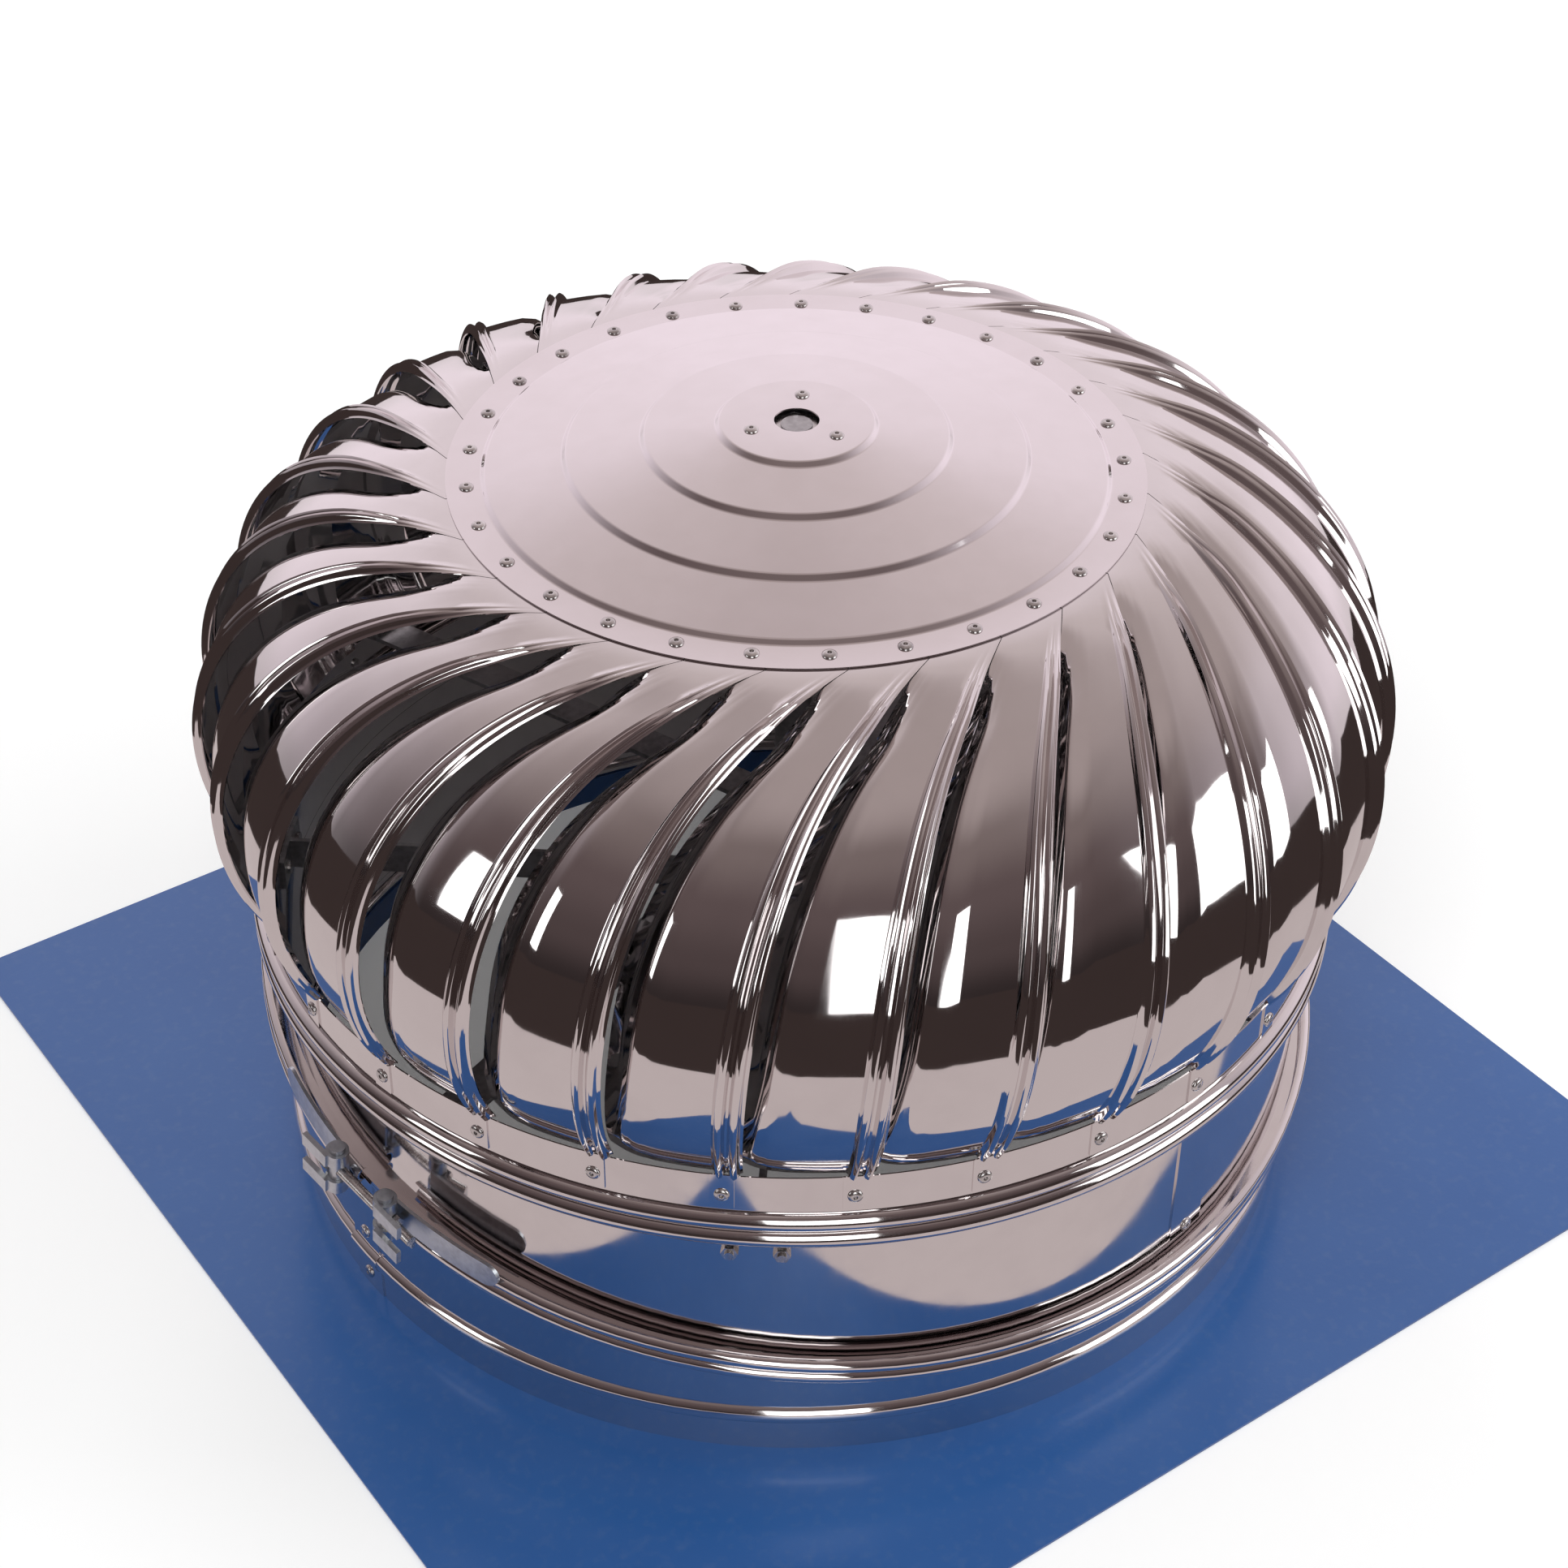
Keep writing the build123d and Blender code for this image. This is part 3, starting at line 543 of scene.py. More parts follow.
def outward(radius: float, degrees: float, level: float) -> Matrix:
    """Frame on an upright wall whose Z axis points outward; sizes in millimetres."""
    angle = math.radians(degrees)
    out = Vector((math.cos(angle), math.sin(angle), 0.0))
    along = Vector((-out.y, out.x, 0.0))
    up = out.cross(along)
    spot = Matrix.Translation((out.x * radius * MM, out.y * radius * MM, level * MM))
    turn = Matrix((along, up, out)).transposed().to_4x4()
    return spot @ turn


def raised(radius: float, degrees: float, level: float) -> Matrix:
    """Frame on a flat top whose Z axis points up; sizes in millimetres."""
    return Matrix.Rotation(math.radians(degrees), 4, "Z") @ Matrix.Translation((radius * MM, 0.0, level * MM))


@dataclass
class SubAssembly:
    """Common ground of the sub-assemblies."""

    paint: Paintshop

    def finish(self, piece: bpy.types.Object, body: Body, slot: Slot) -> None:
        """Dress a piece, tie it to its body and report it."""
        self.paint.dress(piece, slot)
        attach(piece, body.value)
        log.info("%s: %d faces on %s", piece.name, len(piece.data.polygons), body.value)

    def weld(self, node: str, name: str, body: Body, slot: Slot) -> bpy.types.Object:
        """Stand a welded copy in for a sub-part, dressed and riding."""
        piece = merged_copy(node, name)
        self.finish(piece, body, slot)
        return piece


def eased(corners: Profile, reach: float, parts: int = 5) -> Profile:
    """Round the inner corners of an open outline.

    Args:
        corners: Corners of the outline, in millimetres.
        reach: How far from each corner the rounding starts.
        parts: Points on each rounding.

    Returns:
        The rounded outline.
    """
    result = [corners[0]]
    for before, corner, after in zip(corners, corners[1:], corners[2:]):
        c = Vector(corner)
        a = c + (Vector(before) - c).normalized() * min(reach, 0.45 * (Vector(before) - c).length)
        b = c + (Vector(after) - c).normalized() * min(reach, 0.45 * (Vector(after) - c).length)
        for i in range(parts + 1):
            t = i / parts
            point = a * (1 - t) ** 2 + c * 2 * t * (1 - t) + b * t ** 2
            result.append((point.x, point.y))
    result.append(corners[-1])
    return result


def bulge_arc(radius: float, middle: float, height: float, bulge: float, parts: int = 14) -> Profile:
    """Outline of one outward bead, from its foot to its top.

    Args:
        radius: Radius of the wall that carries the bead.
        middle: Height of the crest.
        height: Height of the bead.
        bulge: How far the crest stands out.
        parts: Steps on the arc.

    Returns:
        Points of the arc.
    """
    round_r = (height ** 2 / 4.0 + bulge ** 2) / (2.0 * bulge)
    half = math.asin(min(1.0, height / 2.0 / round_r))
    centre = radius + bulge - round_r
    turns = [-half + 2.0 * half * i / parts for i in range(parts + 1)]
    return [(centre + round_r * math.cos(t), middle + round_r * math.sin(t)) for t in turns]


def smoothstep(value: float) -> float:
    """Ease from 0 to 1."""
    x = min(1.0, max(0.0, value))
    return x * x * (3.0 - 2.0 * x)


@dataclass
class PopRivet:
    """Blind rivet with a domed head and the stub of its mandrel in a recess."""

    shank_r: float = 2.0
    head_r: float = 4.0
    head_h: float = 1.6
    tail_r: float = 3.0
    tail_h: float = 1.0
    slack: float = 0.05
    steps: int = 20
    stub: tuple[Ends, ...] = ((0.0, 0.30), (0.18, 0.42), (0.25, 0.20), (0.29, 0.94), (0.34, 1.0))
    dome_parts: int = 5
    dome_power: float = 0.9
    edge_share: float = 0.12

    def model(self, grip: float) -> bpy.types.Object:
        """Model one rivet along +Z with its head above z = 0.

        Args:
            grip: Thickness of the sheets that it holds.

        Returns:
            The rivet.
        """
        foot = -grip - self.slack
        outline = [(r * self.head_r, z * self.head_h) for r, z in self.stub]
        rim = outline[-1][0]
        for i in range(1, self.dome_parts + 1):
            turn = math.pi / 2.0 * i / self.dome_parts
            level = self.edge_share + (1.0 - self.edge_share) * math.cos(turn)
            reach = (self.head_r - rim) * math.sin(turn) ** self.dome_power
            outline.append((rim + reach, level * self.head_h))
        outline += [(self.head_r, 0.0), (self.shank_r, 0.0), (self.shank_r, foot), (self.tail_r, foot),
                    (self.tail_r, foot - self.tail_h), (0.0, foot - self.tail_h)]
        return settle(spun("rivet_pattern", outline, self.steps, closed=False), 40.0)

    def row(self, name: str, grip: float, places: list[Matrix]) -> bpy.types.Object:
        """Copy one rivet to every place and join the copies.

        Args:
            name: Name of the joined piece.
            grip: Thickness of the sheets that they hold.
            places: Where each rivet sits.

        Returns:
            The joined rivets.
        """
        pattern = self.model(grip)
        copies = [place_copy(pattern, f"{name}_{i}", place) for i, place in enumerate(places)]
        bpy.data.objects.remove(pattern)
        return joined(copies, name)


# ---------------------------------------------------------------- sub-assemblies
@dataclass
class SeamedWall(SubAssembly):
    """Common ground of the two throat walls, which each close with one riveted seam."""

    wall_r: float = 301.0
    seam_t: float = 0.9
    sheet_t: float = 1.0
    seam_deg: float = 0.0
    rivet_z: Ends = (0.0, 0.0)

    def seam_rivets(self, name: str) -> bpy.types.Object:
        """Model the rivets of the wall's seam as one piece of the given name."""
        places = [outward(self.wall_r + self.seam_t, self.seam_deg, z) for z in self.rivet_z]
        return PopRivet().row(name, self.sheet_t + self.seam_t, places)


@dataclass
class FlashingBase(SeamedWall):
    """Blue roof plate with its beaded collar."""

    seam_deg: float = 182.0
    rivet_z: Ends = (12.0, 45.0)

    def build(self) -> None:
        """Dress the plate and build the collar with its rivets."""
        self.paint.dress_node("base_plate", Slot.BLUE)
        self.weld("base_collar", "collar_skin", Body.BASE, Slot.SHEET)
        rivets = self.seam_rivets("collar_rivet_heads")
        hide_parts("collar_rivets")
        self.finish(rivets, Body.BASE, Slot.FASTENER)


@dataclass
class ClampLatch(SubAssembly):
    """Clamp band of the slanted joint with its bolted latch."""

    def build(self) -> None:
        """Build the band and the latch pieces."""
        for node, name, slot in (
                ("clamp_band", "clamp_band_skin", Slot.SHEET),
                ("latch_strap_left", "latch_strap_left_skin", Slot.LATCH),
                ("latch_strap_right", "latch_strap_right_skin", Slot.LATCH),
                ("latch_trunnions", "latch_trunnion_pair", Slot.LATCH),
                ("latch_bolt", "latch_bolt_skin", Slot.FASTENER),
                ("latch_nut", "latch_nut_skin", Slot.FASTENER)):
            self.weld(node, name, Body.BASE, slot)


@dataclass
class ThroatNeck(SeamedWall):
    """Turning upper half of the throat with the cross that carries the spindle."""

    seam_deg: float = 280.5
    rivet_z: Ends = (82.0, 176.0)

    def build(self) -> None:
        """Build the neck, its rivets, the cross and the spindle."""
        self.weld("neck_ring", "neck_skin", Body.NECK, Slot.SHEET)
        rivets = self.seam_rivets("neck_rivet_heads")
        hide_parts("neck_rivets")
        self.finish(rivets, Body.NECK, Slot.FASTENER)
        self.weld("neck_cross", "neck_cross_skin", Body.NECK, Slot.STRUCTURE)
        self.weld("neck_screws", "neck_screw_set", Body.NECK, Slot.FASTENER)
        self.weld("spindle", "spindle_skin", Body.NECK, Slot.STRUCTURE)
        self.weld("spindle_nuts", "spindle_nut_pair", Body.NECK, Slot.FASTENER)


@dataclass
class Bearings(SubAssembly):
    """Two ball bearings between spindle and rotor."""

    def build(self) -> None:
        """Build races, ball rows and cages."""
        for level, row in (("upper", Body.UPPER_ROW), ("lower", Body.LOWER_ROW)):
            self.weld(f"{level}_inner_race", f"{level}_inner_ring", Body.NECK, Slot.BEARING)
            self.weld(f"{level}_outer_race", f"{level}_outer_ring", Body.ROTOR, Slot.BEARING)
            self.weld(f"{level}_balls", f"{level}_ball_row_set", row, Slot.BEARING)
            self.weld(f"{level}_cage", f"{level}_ball_cage", row, Slot.CAGE)


@dataclass
class TurbineHead(SubAssembly):
    """Rotor: stepped cap, rim band and a cage of swirled vanes."""

    vanes: int = 29
    first_rivet_deg: float = 3.84
    vane_t: float = 0.8
    vane_seat: float = 0.2
    cap_t: float = 0.8
    cap_edge_r: float = 186.0
    cap_rivet_r: float = 175.0
    cap_flange_z: float = 439.0
    cap_hole_r: float = 12.0
    step_radii: tuple[float, ...] = (165.0, 122.0, 80.5, 41.0)
    step_risers: tuple[float, ...] = (2.6, 3.2, 3.2, 2.9)
    step_slopes: tuple[float, ...] = (6.0, 5.8, 3.6, 0.0)
    step_run: float = 2.4
    step_ease: float = 0.8
    hub_rivet_r: float = 26.0
    hub_rivet_deg: float = 48.0
    hub_rivets: int = 3
    hub_grip: float = 2.8
    overhang: float = 25.0
    foot_in: float = 1.8
    band_r: float = 308.0
    band_t: float = 0.8
    band_top_z: float = 215.0
    bead_top_z: float = 190.0
    bead_h: float = 11.5
    bead_bulge: float = 4.6
    tab_h: float = 23.0
    tab_shares: Ends = (0.80, 0.985)
    end_gap: float = 1.0
    swirl_deg: float = 26.0
    swirl_length: float = 70.0
    lead_deg: float = 2.8
    open_start: float = 8.0
    open_end: float = 48.0
    tuck: float = 23.0
    closed_by: float = 0.72
    close_from: float = 0.70
    side_gap: float = 0.3
    rib_h: float = 4.2
    lap: float = 0.05
    tab_reach: float = 17.0
    rows: int = 56
    panel_parts: int = 3
    tab_grid: tuple[int, int] = (8, 6)
    panel: tuple[tuple[float, float, float], ...] = (
        (0.0, 1.0, 0.0), (0.06, 0.78, 0.0), (0.13, 0.52, 0.0), (0.22, 0.32, 0.0), (0.36, 0.19, 0.0),
        (0.55, 0.13, 0.0), (0.785, 0.07, 0.0), (0.812, 0.06, 0.8), (0.833, 0.05, 1.0), (0.852, 0.04, 0.8),
        (0.876, 0.04, 0.1), (0.893, 0.03, 0.1), (0.917, 0.02, 0.8), (0.938, 0.01, 1.0), (0.957, 0.01, 0.8),
        (0.98, 0.0, 0.1), (1.0, 0.02, 0.0))

    def __post_init__(self) -> None:
        """Work out the meridian of the cage."""
        self.pitch_deg = 360.0 / self.vanes
        self.under_z = self.cap_flange_z - self.cap_t - self.vane_seat
        widest_r = self.band_r + self.overhang - self.rib_h
        self.shoulder_r = widest_r - self.cap_edge_r
        self.widest_z = self.under_z - self.shoulder_r
        self.quarter = self.shoulder_r * math.pi / 2.0
        drop = self.widest_z - self.band_top_z - self.end_gap
        run = widest_r - self.band_r + self.foot_in
        self.low_r = (run ** 2 + drop ** 2) / (2.0 * run)
        self.length = self.quarter + self.low_r * math.asin(drop / self.low_r)
        self.start_deg = self.first_rivet_deg + self.lead_deg - self.pitch_deg

    def build(self) -> None:
        """Build the whole rotor."""
        self.build_cap()
        self.build_band()
        self.build_rivets()
        self.weld("hub_housing", "hub_housing_skin", Body.ROTOR, Slot.STRUCTURE)
        self.weld("rotor_cross", "rotor_cross_skin", Body.ROTOR, Slot.STRUCTURE)
        self.build_vanes()

    def cap_profile(self, lowered: float) -> Profile:
        """Stepped outline of the cap from edge to hole."""
        level = 0.0
        points = [(self.cap_edge_r, 0.0), (self.step_radii[0] + self.step_run, 0.0)]
        for i, radius in enumerate(self.step_radii):
            level += self.step_risers[i]
            points.append((radius, level))
            last = i + 1 == len(self.step_radii)
            following = self.cap_hole_r if last else self.step_radii[i + 1] + self.step_run
            level += self.step_slopes[i]
            points.append((following, level))
        placed = [(r, self.cap_flange_z + z - lowered) for r, z in points]
        return eased(placed, self.step_ease)

    def build_cap(self) -> None:
        """Spin the cap."""
        outline = self.cap_profile(0.0) + self.cap_profile(self.cap_t)[::-1]
        cap = settle(spun("cap_skin", outline, 180), 50.0)
        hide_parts("top_cap")
        self.finish(cap, Body.ROTOR, Slot.CAP)

    def band_profile(self, inward: float) -> Profile:
        """Outline of the rim band, bottom to top."""
        radius = self.band_r - inward
        points = [(radius, self.bead_top_z - 2.0 * self.bead_h - 1.0)]
        for i in (1, 0):
            middle = self.bead_top_z - (i + 0.5) * self.bead_h
            points += bulge_arc(radius, middle, self.bead_h, self.bead_bulge)[1 if i == 0 else 0:]
        return points + [(radius, self.band_top_z)]

    def build_band(self) -> None:
        """Spin the rim band."""
        outline = self.band_profile(0.0) + self.band_profile(self.band_t)[::-1]
        band = settle(spun("rim_band_skin", outline, 240), 50.0)
        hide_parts("rotor_band")
        self.finish(band, Body.ROTOR, Slot.SHEET)

    def build_rivets(self) -> None:
        """Set the rivet rows of cap, hub and band."""
        rivet = PopRivet()
        cap_top = self.cap_flange_z + sum(self.step_risers) + sum(self.step_slopes)
        band_deg = self.start_deg + self.swirl(self.length) + sum(self.tab_shares) / 2.0 * self.pitch_deg
        band_z = self.band_top_z - self.tab_h / 2.0 - self.end_gap
        cap_places = [raised(self.cap_rivet_r, self.first_rivet_deg + i * self.pitch_deg, self.cap_flange_z)
                      for i in range(self.vanes)]
        hub_places = [raised(self.hub_rivet_r, self.hub_rivet_deg + i * 360.0 / self.hub_rivets, cap_top)
                      for i in range(self.hub_rivets)]
        band_places = [outward(self.band_r + self.vane_t, band_deg + i * self.pitch_deg, band_z)
                       for i in range(self.vanes)]
        rows = (("cap_rivets", self.cap_t + self.vane_seat + self.vane_t, cap_places),
                ("hub_rivets", self.hub_grip, hub_places),
                ("band_rivets", self.band_t + self.vane_t, band_places))
        for node, grip, places in rows:
            piece = rivet.row(f"{node}_heads", grip, places)
            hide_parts(node)
            self.finish(piece, Body.ROTOR, Slot.FASTENER)

    def swirl(self, s: float) -> float:
        """Turn of the vane in degrees at distance s from the cap edge."""
        return -self.swirl_deg * (1.0 - math.exp(-max(s, 0.0) / self.swirl_length))

    def meridian(self, s: float) -> tuple[float, float, float, float]:
        """Radius, height and outward direction at distance s from the cap edge."""
        if s <= 0.0:
            return self.cap_edge_r + s, self.under_z, 0.0, 1.0
        if s <= self.quarter:
            a = s / self.shoulder_r
            out, up = math.sin(a), math.cos(a)
            return self.cap_edge_r + self.shoulder_r * out, self.widest_z + self.shoulder_r * up, out, up
        a = (s - self.quarter) / self.low_r
        centre = self.cap_edge_r + self.shoulder_r - self.low_r
        out, up = math.cos(a), -math.sin(a)
        return centre + self.low_r * out, self.widest_z + self.low_r * up, out, up

    def point(self, s: float, share: float, depth: float, rib: float) -> Vector:
        """A point of a vane's outer face.

        Args:
            s: Distance from the cap edge along the meridian.
            share: Place across the vane, from its tucked edge to its free edge.
            depth: How much of the tuck acts here.
            rib: How much of the rib height acts here.

        Returns:
            The point, in metres.
        """
        radius, level, out, up = self.meridian(s)
        opened = smoothstep((s - self.open_start) / (self.open_end - self.open_start))
        late = (s / self.length - self.close_from) / (1.0 - self.close_from)
        closing = 1.0 - self.closed_by * smoothstep(late)
        ribs = smoothstep((s - self.open_start) / self.open_end)
        h = self.rib_h * rib * ribs - self.tuck * depth * opened * closing
        side = self.side_gap / (radius * math.radians(self.pitch_deg))
        start = side * (1.0 - opened)
        stop = 1.0 - side * (1.0 - opened) + self.lap * opened
        across = (start + share * (stop - start)) * self.pitch_deg
        angle = math.radians(self.start_deg + self.swirl(s) + across)
        reach = (radius + out * h) * MM
        return Vector((reach * math.cos(angle), reach * math.sin(angle), (level + up * h) * MM))

    def columns(self) -> list[tuple[float, float, float]]:
        """Places across a vane, with rounded ribs between the listed ones."""
        result = []
        for a, b in zip(self.panel, self.panel[1:]):
            for i in range(self.panel_parts):
                t = i / self.panel_parts
                ease = smoothstep(t) if a[2] != b[2] else t
                result.append(tuple(p + (q - p) * w for p, q, w in zip(a, b, (t, t, ease))))
        return result + [self.panel[-1]]

    def vane_sheet(self) -> bpy.types.Object:
        """Model the first vane from a grid: swirl it, tuck one edge, fold the ribs and bend the tab."""
        columns = self.columns()
        bpy.ops.object.select_all(action="DESELECT")
        wide, long = len(columns) - 1, self.rows - 1
        bpy.ops.mesh.primitive_grid_add(x_subdivisions=wide, y_subdivisions=long, size=2.0)
        sheet = bpy.context.active_object
        span = self.length + self.tab_reach
        for vertex in sheet.data.vertices:
            i = round((vertex.co.x + 1.0) / 2.0 * wide)
            j = round((vertex.co.y + 1.0) / 2.0 * long)
            vertex.co = self.point(-self.tab_reach + span * j / long, *columns[i])
        first, last = self.tab_shares
        across, along = self.tab_grid
        bpy.ops.mesh.primitive_grid_add(x_subdivisions=across, y_subdivisions=along, size=2.0)
        tab = bpy.context.active_object
        swirl = self.start_deg + self.swirl(self.length)
        for vertex in tab.data.vertices:
            share = first + (last - first) * (vertex.co.x + 1.0) / 2.0
            down = (vertex.co.y + 1.0) / 2.0
            angle = math.radians(swirl + share * self.pitch_deg)
            reach = (self.band_r + self.vane_t) * MM
            level = (self.band_top_z + self.end_gap - down * self.tab_h) * MM
            vertex.co = Vector((reach * math.cos(angle), reach * math.sin(angle), level))
        sheet = joined([sheet, tab], "vane_pattern")
        core = Vector((0.0, 0.0, self.band_top_z * MM))
        if sum(face.normal.dot(face.center - core) for face in sheet.data.polygons) < 0.0:
            pick_only(sheet)
            edit_all()
            bpy.ops.mesh.flip_normals()
            bpy.ops.object.mode_set(mode="OBJECT")
        pick_only(sheet)
        wall = sheet.modifiers.new("wall", "SOLIDIFY")
        wall.thickness = self.vane_t * MM
        wall.offset = -1.0
        bpy.ops.object.modifier_apply(modifier="wall")
        return settle(sheet, 40.0)

    def build_vanes(self) -> None:
        """Copy the vane all round."""
        pattern = self.vane_sheet()
        for i in range(self.vanes):
            turn = Matrix.Rotation(math.radians(i * self.pitch_deg), 4, "Z")
            piece = place_copy(pattern, f"vane_blade_{i + 1:02d}", turn)
            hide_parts(f"vane_{i + 1:02d}")
            self.finish(piece, Body.ROTOR, Slot.VANE)
        bpy.data.objects.remove(pattern)


# ---------------------------------------------------------------- studio
@dataclass
class Studio:
    """Pale floor, soft lights, reflection walls and the camera."""

    wall_r: float = 3.4
    floor_size: float = 30.0
    floor_z: float = -0.0004
    ring_z: float = -0.0002
    card_aim_z: float = 0.3
    lamp_aim_z: float = 0.2
    sky_strength: Ends = (0.5, 1.0)
    apron_r: float = 0.72
    apron_glow: Colour = (1.0, 0.70, 0.66)
    apron_strength: float = 0.045
    card_strength: float = 2.2
    table_r: float = 0.30
    table_glow: Colour = (0.58, 0.505, 0.50)
    floor_lift: Ends = (0.12, 0.55)
    fade_r: Ends = (0.7, 2.6)
    pale_deg: float = 42.0
    pale_span: Ends = (-0.5, 0.8)
    back_sky: tuple[tuple[float, Colour], ...] = (
        (0.0, (0.80, 0.72, 0.75)), (0.22, (0.97, 0.86, 0.92)), (0.55, (0.88, 0.78, 0.82)),
        (0.82, (0.66, 0.57, 0.57)), (1.0, (0.42, 0.35, 0.34)))
    front_sky: tuple[tuple[float, Colour], ...] = (
        (0.0, (0.035, 0.026, 0.026)), (0.30, (0.085, 0.062, 0.062)), (0.62, (0.125, 0.092, 0.092)),
        (0.86, (0.21, 0.165, 0.16)), (1.0, (0.42, 0.35, 0.34)))
    soft_boxes: tuple[tuple[str, tuple[float, float], tuple[float, float, float]], ...] = (
        ("soft_box_right", (1.55, 1.9), (303.0, 2.9, 0.85)),
        ("soft_box_front", (1.0, 2.2), (240.0, 2.9, 0.9)), ("soft_box_left", (0.7, 1.2), (171.0, 2.9, 0.9)))
    lamps: dict[str, tuple[tuple[float, float, float], float, float]] = field(default_factory=lambda: {
        "key_lamp": ((-1.6, -1.4, 2.4), 1.6, 40.0), "fill_lamp": ((1.9, -1.0, 2.2), 1.6, 20.0),
        "back_lamp": ((0.6, 2.0, 2.2), 1.4, 16.0)})
    eye: Vector = field(default_factory=lambda: Vector((-0.79264, -1.09298, 1.27651)))
    ahead: Vector = field(default_factory=lambda: Vector((0.460542, 0.639973, -0.61509)))
    upward: Vector = field(default_factory=lambda: Vector((0.351745, 0.504643, 0.788423)))
    lens: float = 68.22
    sensor: float = 36.0

    def build(self) -> None:
        """Set up the whole studio."""
        self.build_world()
        self.build_floor()
        self.build_walls()
        self.build_lights()
        self.build_camera()

    def build_world(self) -> None:
        """White for camera, glossy and transmission rays, and a soft fill for the rest."""
        world = bpy.data.worlds.new("studio_world")
        bpy.context.scene.world = world
        world.use_nodes = True
        tree = world.node_tree
        paths = tree.nodes.new("ShaderNodeLightPath")
        seen = paths.outputs["Is Camera Ray"]
        for label in ("Is Glossy Ray", "Is Transmission Ray"):
            either = tree.nodes.new("ShaderNodeMath")
            either.operation = "MAXIMUM"
            tree.links.new(seen, either.inputs[0])
            tree.links.new(paths.outputs[label], either.inputs[1])
            seen = either.outputs[0]
        strength = ranged(tree, seen, To=self.sky_strength)
        background = tree.nodes["Background"]
        background.inputs["Color"].default_value = (1.0, 1.0, 1.0, 1.0)
        tree.links.new(strength.outputs["Result"], background.inputs["Strength"])

    def build_floor(self) -> None:
        """Plain pale floor under the plate."""
        bpy.ops.object.select_all(action="DESELECT")
        bpy.ops.mesh.primitive_plane_add(size=self.floor_size, location=(0.0, 0.0, self.floor_z))
        floor = bpy.context.active_object
        floor.name = "studio_floor"
        material = bpy.data.materials.new("studio_floor_paint")
        material.use_nodes = True
        shader = material.node_tree.nodes["Principled BSDF"]
        shader.inputs["Base Color"].default_value = (0.95, 0.95, 0.95, 1.0)
        shader.inputs["Roughness"].default_value = 0.9
        shader.inputs["Specular IOR Level"].default_value = 0.0
        shader.inputs["Emission Color"].default_value = (1.0, 1.0, 1.0, 1.0)
        n, link = material.node_tree.nodes, material.node_tree.links.new
        paths = n.new("ShaderNodeLightPath")
        place = n.new("ShaderNodeTexCoord")
        away = n.new("ShaderNodeVectorMath")
        away.operation = "LENGTH"
        fade = ranged(material.node_tree, away.outputs["Value"], From=self.fade_r, To=self.floor_lift)
        fade.interpolation_type = "SMOOTHSTEP"
        lift = multiply(material.node_tree)
        link(place.outputs["Object"], away.inputs[0])
        link(fade.outputs["Result"], lift.inputs[0])
        link(paths.outputs["Is Camera Ray"], lift.inputs[1])
        link(lift.outputs[0], shader.inputs["Emission Strength"])
        floor.data.materials.append(material)

    def glow(self, name: str, colour: Colour, strength: float) -> bpy.types.Material:
        """Make the plain glowing material of a reflection card."""
        material = bpy.data.materials.new(name)
        material.use_nodes = True
        tree = material.node_tree
        tree.nodes.clear()
        out = tree.nodes.new("ShaderNodeOutputMaterial")
        lamp = tree.nodes.new("ShaderNodeEmission")
        lamp.inputs["Color"].default_value = (*colour, 1.0)
        lamp.inputs["Strength"].default_value = strength
        tree.links.new(lamp.outputs[0], out.inputs["Surface"])
        return material

    def card(self, name: str, size: tuple[float, float], place: tuple[float, float, float],
             material: bpy.types.Material) -> None:
        """Hang one reflection card that faces the object.

        Args:
            name: Name of the card.
            size: Width and height in metres.
            place: Azimuth in degrees, distance, and height of its middle in metres.
            material: Its glowing material.
        """
        azimuth, distance, height = place
        angle = math.radians(azimuth)
        spot = Vector((distance * math.cos(angle), distance * math.sin(angle), height))
        bpy.ops.object.select_all(action="DESELECT")
        bpy.ops.mesh.primitive_plane_add(size=1.0)
        card = bpy.context.active_object
        card.name = name
        card.scale = (size[0], size[1], 1.0)
        card.rotation_euler = (Vector((0.0, 0.0, self.card_aim_z)) - spot).to_track_quat("Z", "Y").to_euler()
        card.location = spot
        card.data.materials.append(material)
        self.hide_from_eye(card)

    def hide_from_eye(self, card: bpy.types.Object) -> None:
        """Let a card show in reflections only."""
        card.visible_camera = False
        card.visible_diffuse = False
        card.visible_shadow = False

    def dome_material(self) -> bpy.types.Material:
        """Make the glow of the dome: pale behind the object, darker and warmer in front of it."""
        material = self.glow("warm_dome", (1.0, 1.0, 1.0), 1.0)
        tree = material.node_tree
        n, link = tree.nodes, tree.links.new
        place = n.new("ShaderNodeTexCoord")
        unit = n.new("ShaderNodeVectorMath")
        unit.operation = "NORMALIZE"
        split = n.new("ShaderNodeSeparateXYZ")
        side = n.new("ShaderNodeVectorMath")
        side.operation = "DOT_PRODUCT"
        angle = math.radians(self.pale_deg)
        side.inputs[1].default_value = (math.cos(angle), math.sin(angle), 0.0)
        share = ranged(tree, side.outputs["Value"], From=self.pale_span)
        share.interpolation_type = "SMOOTHSTEP"
        link(place.outputs["Object"], unit.inputs[0])
        link(unit.outputs[0], split.inputs[0])
        link(unit.outputs[0], side.inputs[0])
        mix = n.new("ShaderNodeMix")
        mix.data_type = "RGBA"
        link(share.outputs["Result"], mix.inputs[0])
        for slot, stops in ((6, self.front_sky), (7, self.back_sky)):
            ramp = n.new("ShaderNodeValToRGB")
            ramp.color_ramp.interpolation = "EASE"
            while len(ramp.color_ramp.elements) < len(stops):
                ramp.color_ramp.elements.new(0.5)
            for element, (height, colour) in zip(ramp.color_ramp.elements, stops):
                element.position = height
                element.color = (*colour, 1.0)
            link(split.outputs["Z"], ramp.inputs["Fac"])
            link(ramp.outputs["Color"], mix.inputs[slot])
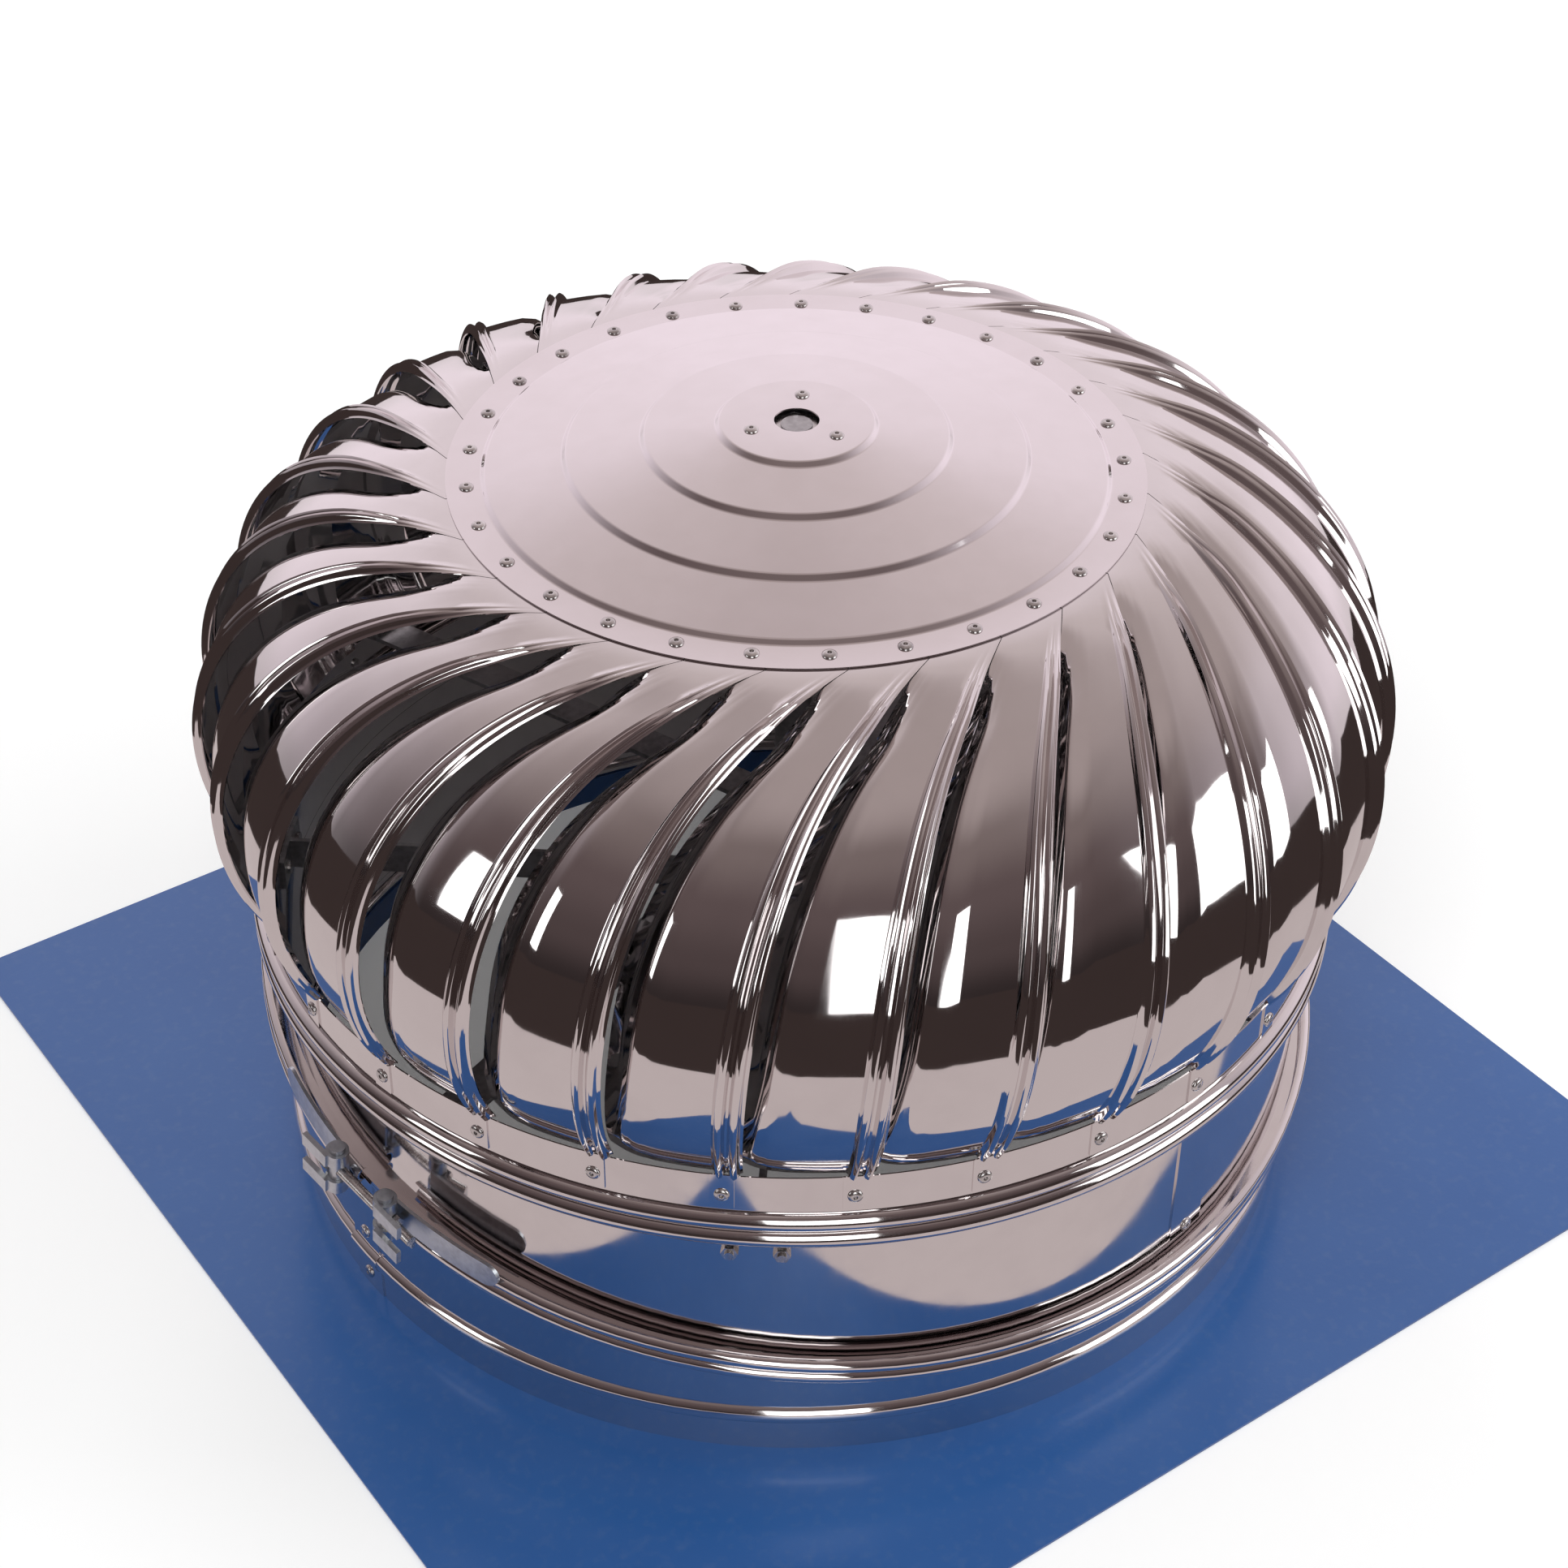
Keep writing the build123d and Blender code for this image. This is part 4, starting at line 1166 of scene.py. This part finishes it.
        lamp = next(node for node in n if node.type == "EMISSION")
        link(mix.outputs[2], lamp.inputs["Color"])
        return material

    def build_walls(self) -> None:
        """Hang the dome, the dark apron round the table and the bright soft boxes."""
        bpy.ops.object.select_all(action="DESELECT")
        bpy.ops.mesh.primitive_uv_sphere_add(segments=96, ring_count=48, radius=self.wall_r)
        dome = bpy.context.active_object
        dome.name = "warm_dome"
        bpy.ops.object.shade_smooth()
        dome.data.materials.append(self.dome_material())
        self.hide_from_eye(dome)
        brown = self.glow("apron_brown", self.apron_glow, self.apron_strength)
        self.build_ring("dark_apron", (self.apron_r, self.wall_r), brown)
        pink = self.glow("table_pink", self.table_glow, 1.0)
        self.build_ring("warm_table", (self.table_r, self.apron_r), pink)
        white = self.glow("white_card", (1.0, 1.0, 1.0), self.card_strength)
        for name, size, place in self.soft_boxes:
            self.card(name, size, place, white)

    def build_ring(self, name: str, radii: tuple[float, float], material: bpy.types.Material) -> None:
        """Lay one flat ring on the floor that shows in reflections only.

        Args:
            name: Name of the ring.
            radii: Inner and outer radius in metres.
            material: Its glowing material.
        """
        inner, outer = radii
        bpy.ops.object.select_all(action="DESELECT")
        bpy.ops.mesh.primitive_circle_add(vertices=96, radius=inner, fill_type="NOTHING",
                                          location=(0.0, 0.0, self.ring_z))
        ring = bpy.context.active_object
        ring.name = name
        edit_all()
        bpy.ops.mesh.extrude_edges_move()
        bpy.ops.transform.resize(value=(outer / inner, outer / inner, 1.0))
        bpy.ops.object.mode_set(mode="OBJECT")
        ring.data.materials.append(material)
        self.hide_from_eye(ring)

    def build_lights(self) -> None:
        """Two large soft lamps and a weaker one from behind."""
        for name, (spot, size, power) in self.lamps.items():
            lamp = bpy.data.lights.new(name, "AREA")
            lamp.shape = "SQUARE"
            lamp.size = size
            lamp.energy = power
            holder = bpy.data.objects.new(name, lamp)
            bpy.context.scene.collection.objects.link(holder)
            holder.location = spot
            toward = Vector((0.0, 0.0, self.lamp_aim_z)) - Vector(spot)
            holder.rotation_euler = toward.to_track_quat("-Z", "Y").to_euler()
            holder.visible_glossy = False

    def build_camera(self) -> None:
        """Stand the camera at the viewing angle."""
        lens = bpy.data.cameras.new("studio_camera")
        lens.sensor_width = self.sensor
        lens.lens = self.lens
        camera = bpy.data.objects.new("studio_camera", lens)
        bpy.context.scene.collection.objects.link(camera)
        side = self.ahead.cross(self.upward).normalized()
        top = side.cross(self.ahead).normalized()
        turn = Matrix((side, top, -self.ahead.normalized())).transposed().to_4x4()
        camera.matrix_world = Matrix.Translation(self.eye) @ turn
        bpy.context.scene.camera = camera


def corners(box: tuple[Vector, Vector]) -> list[list[float]]:
    """Write a box as plain lists."""
    return [list(corner) for corner in box]


def main() -> None:
    """Build the dressed ventilator and its studio."""
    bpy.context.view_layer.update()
    view = bpy.context.scene.view_settings
    view.view_transform = "Standard"
    paint = Paintshop()
    paint.open()
    for kind in (FlashingBase, ClampLatch, ThroatNeck, Bearings, TurbineHead):
        kind(paint).build()
        log.info("built %s", kind.__name__)
    Studio().build()


if __name__ == "__main__":
    main()
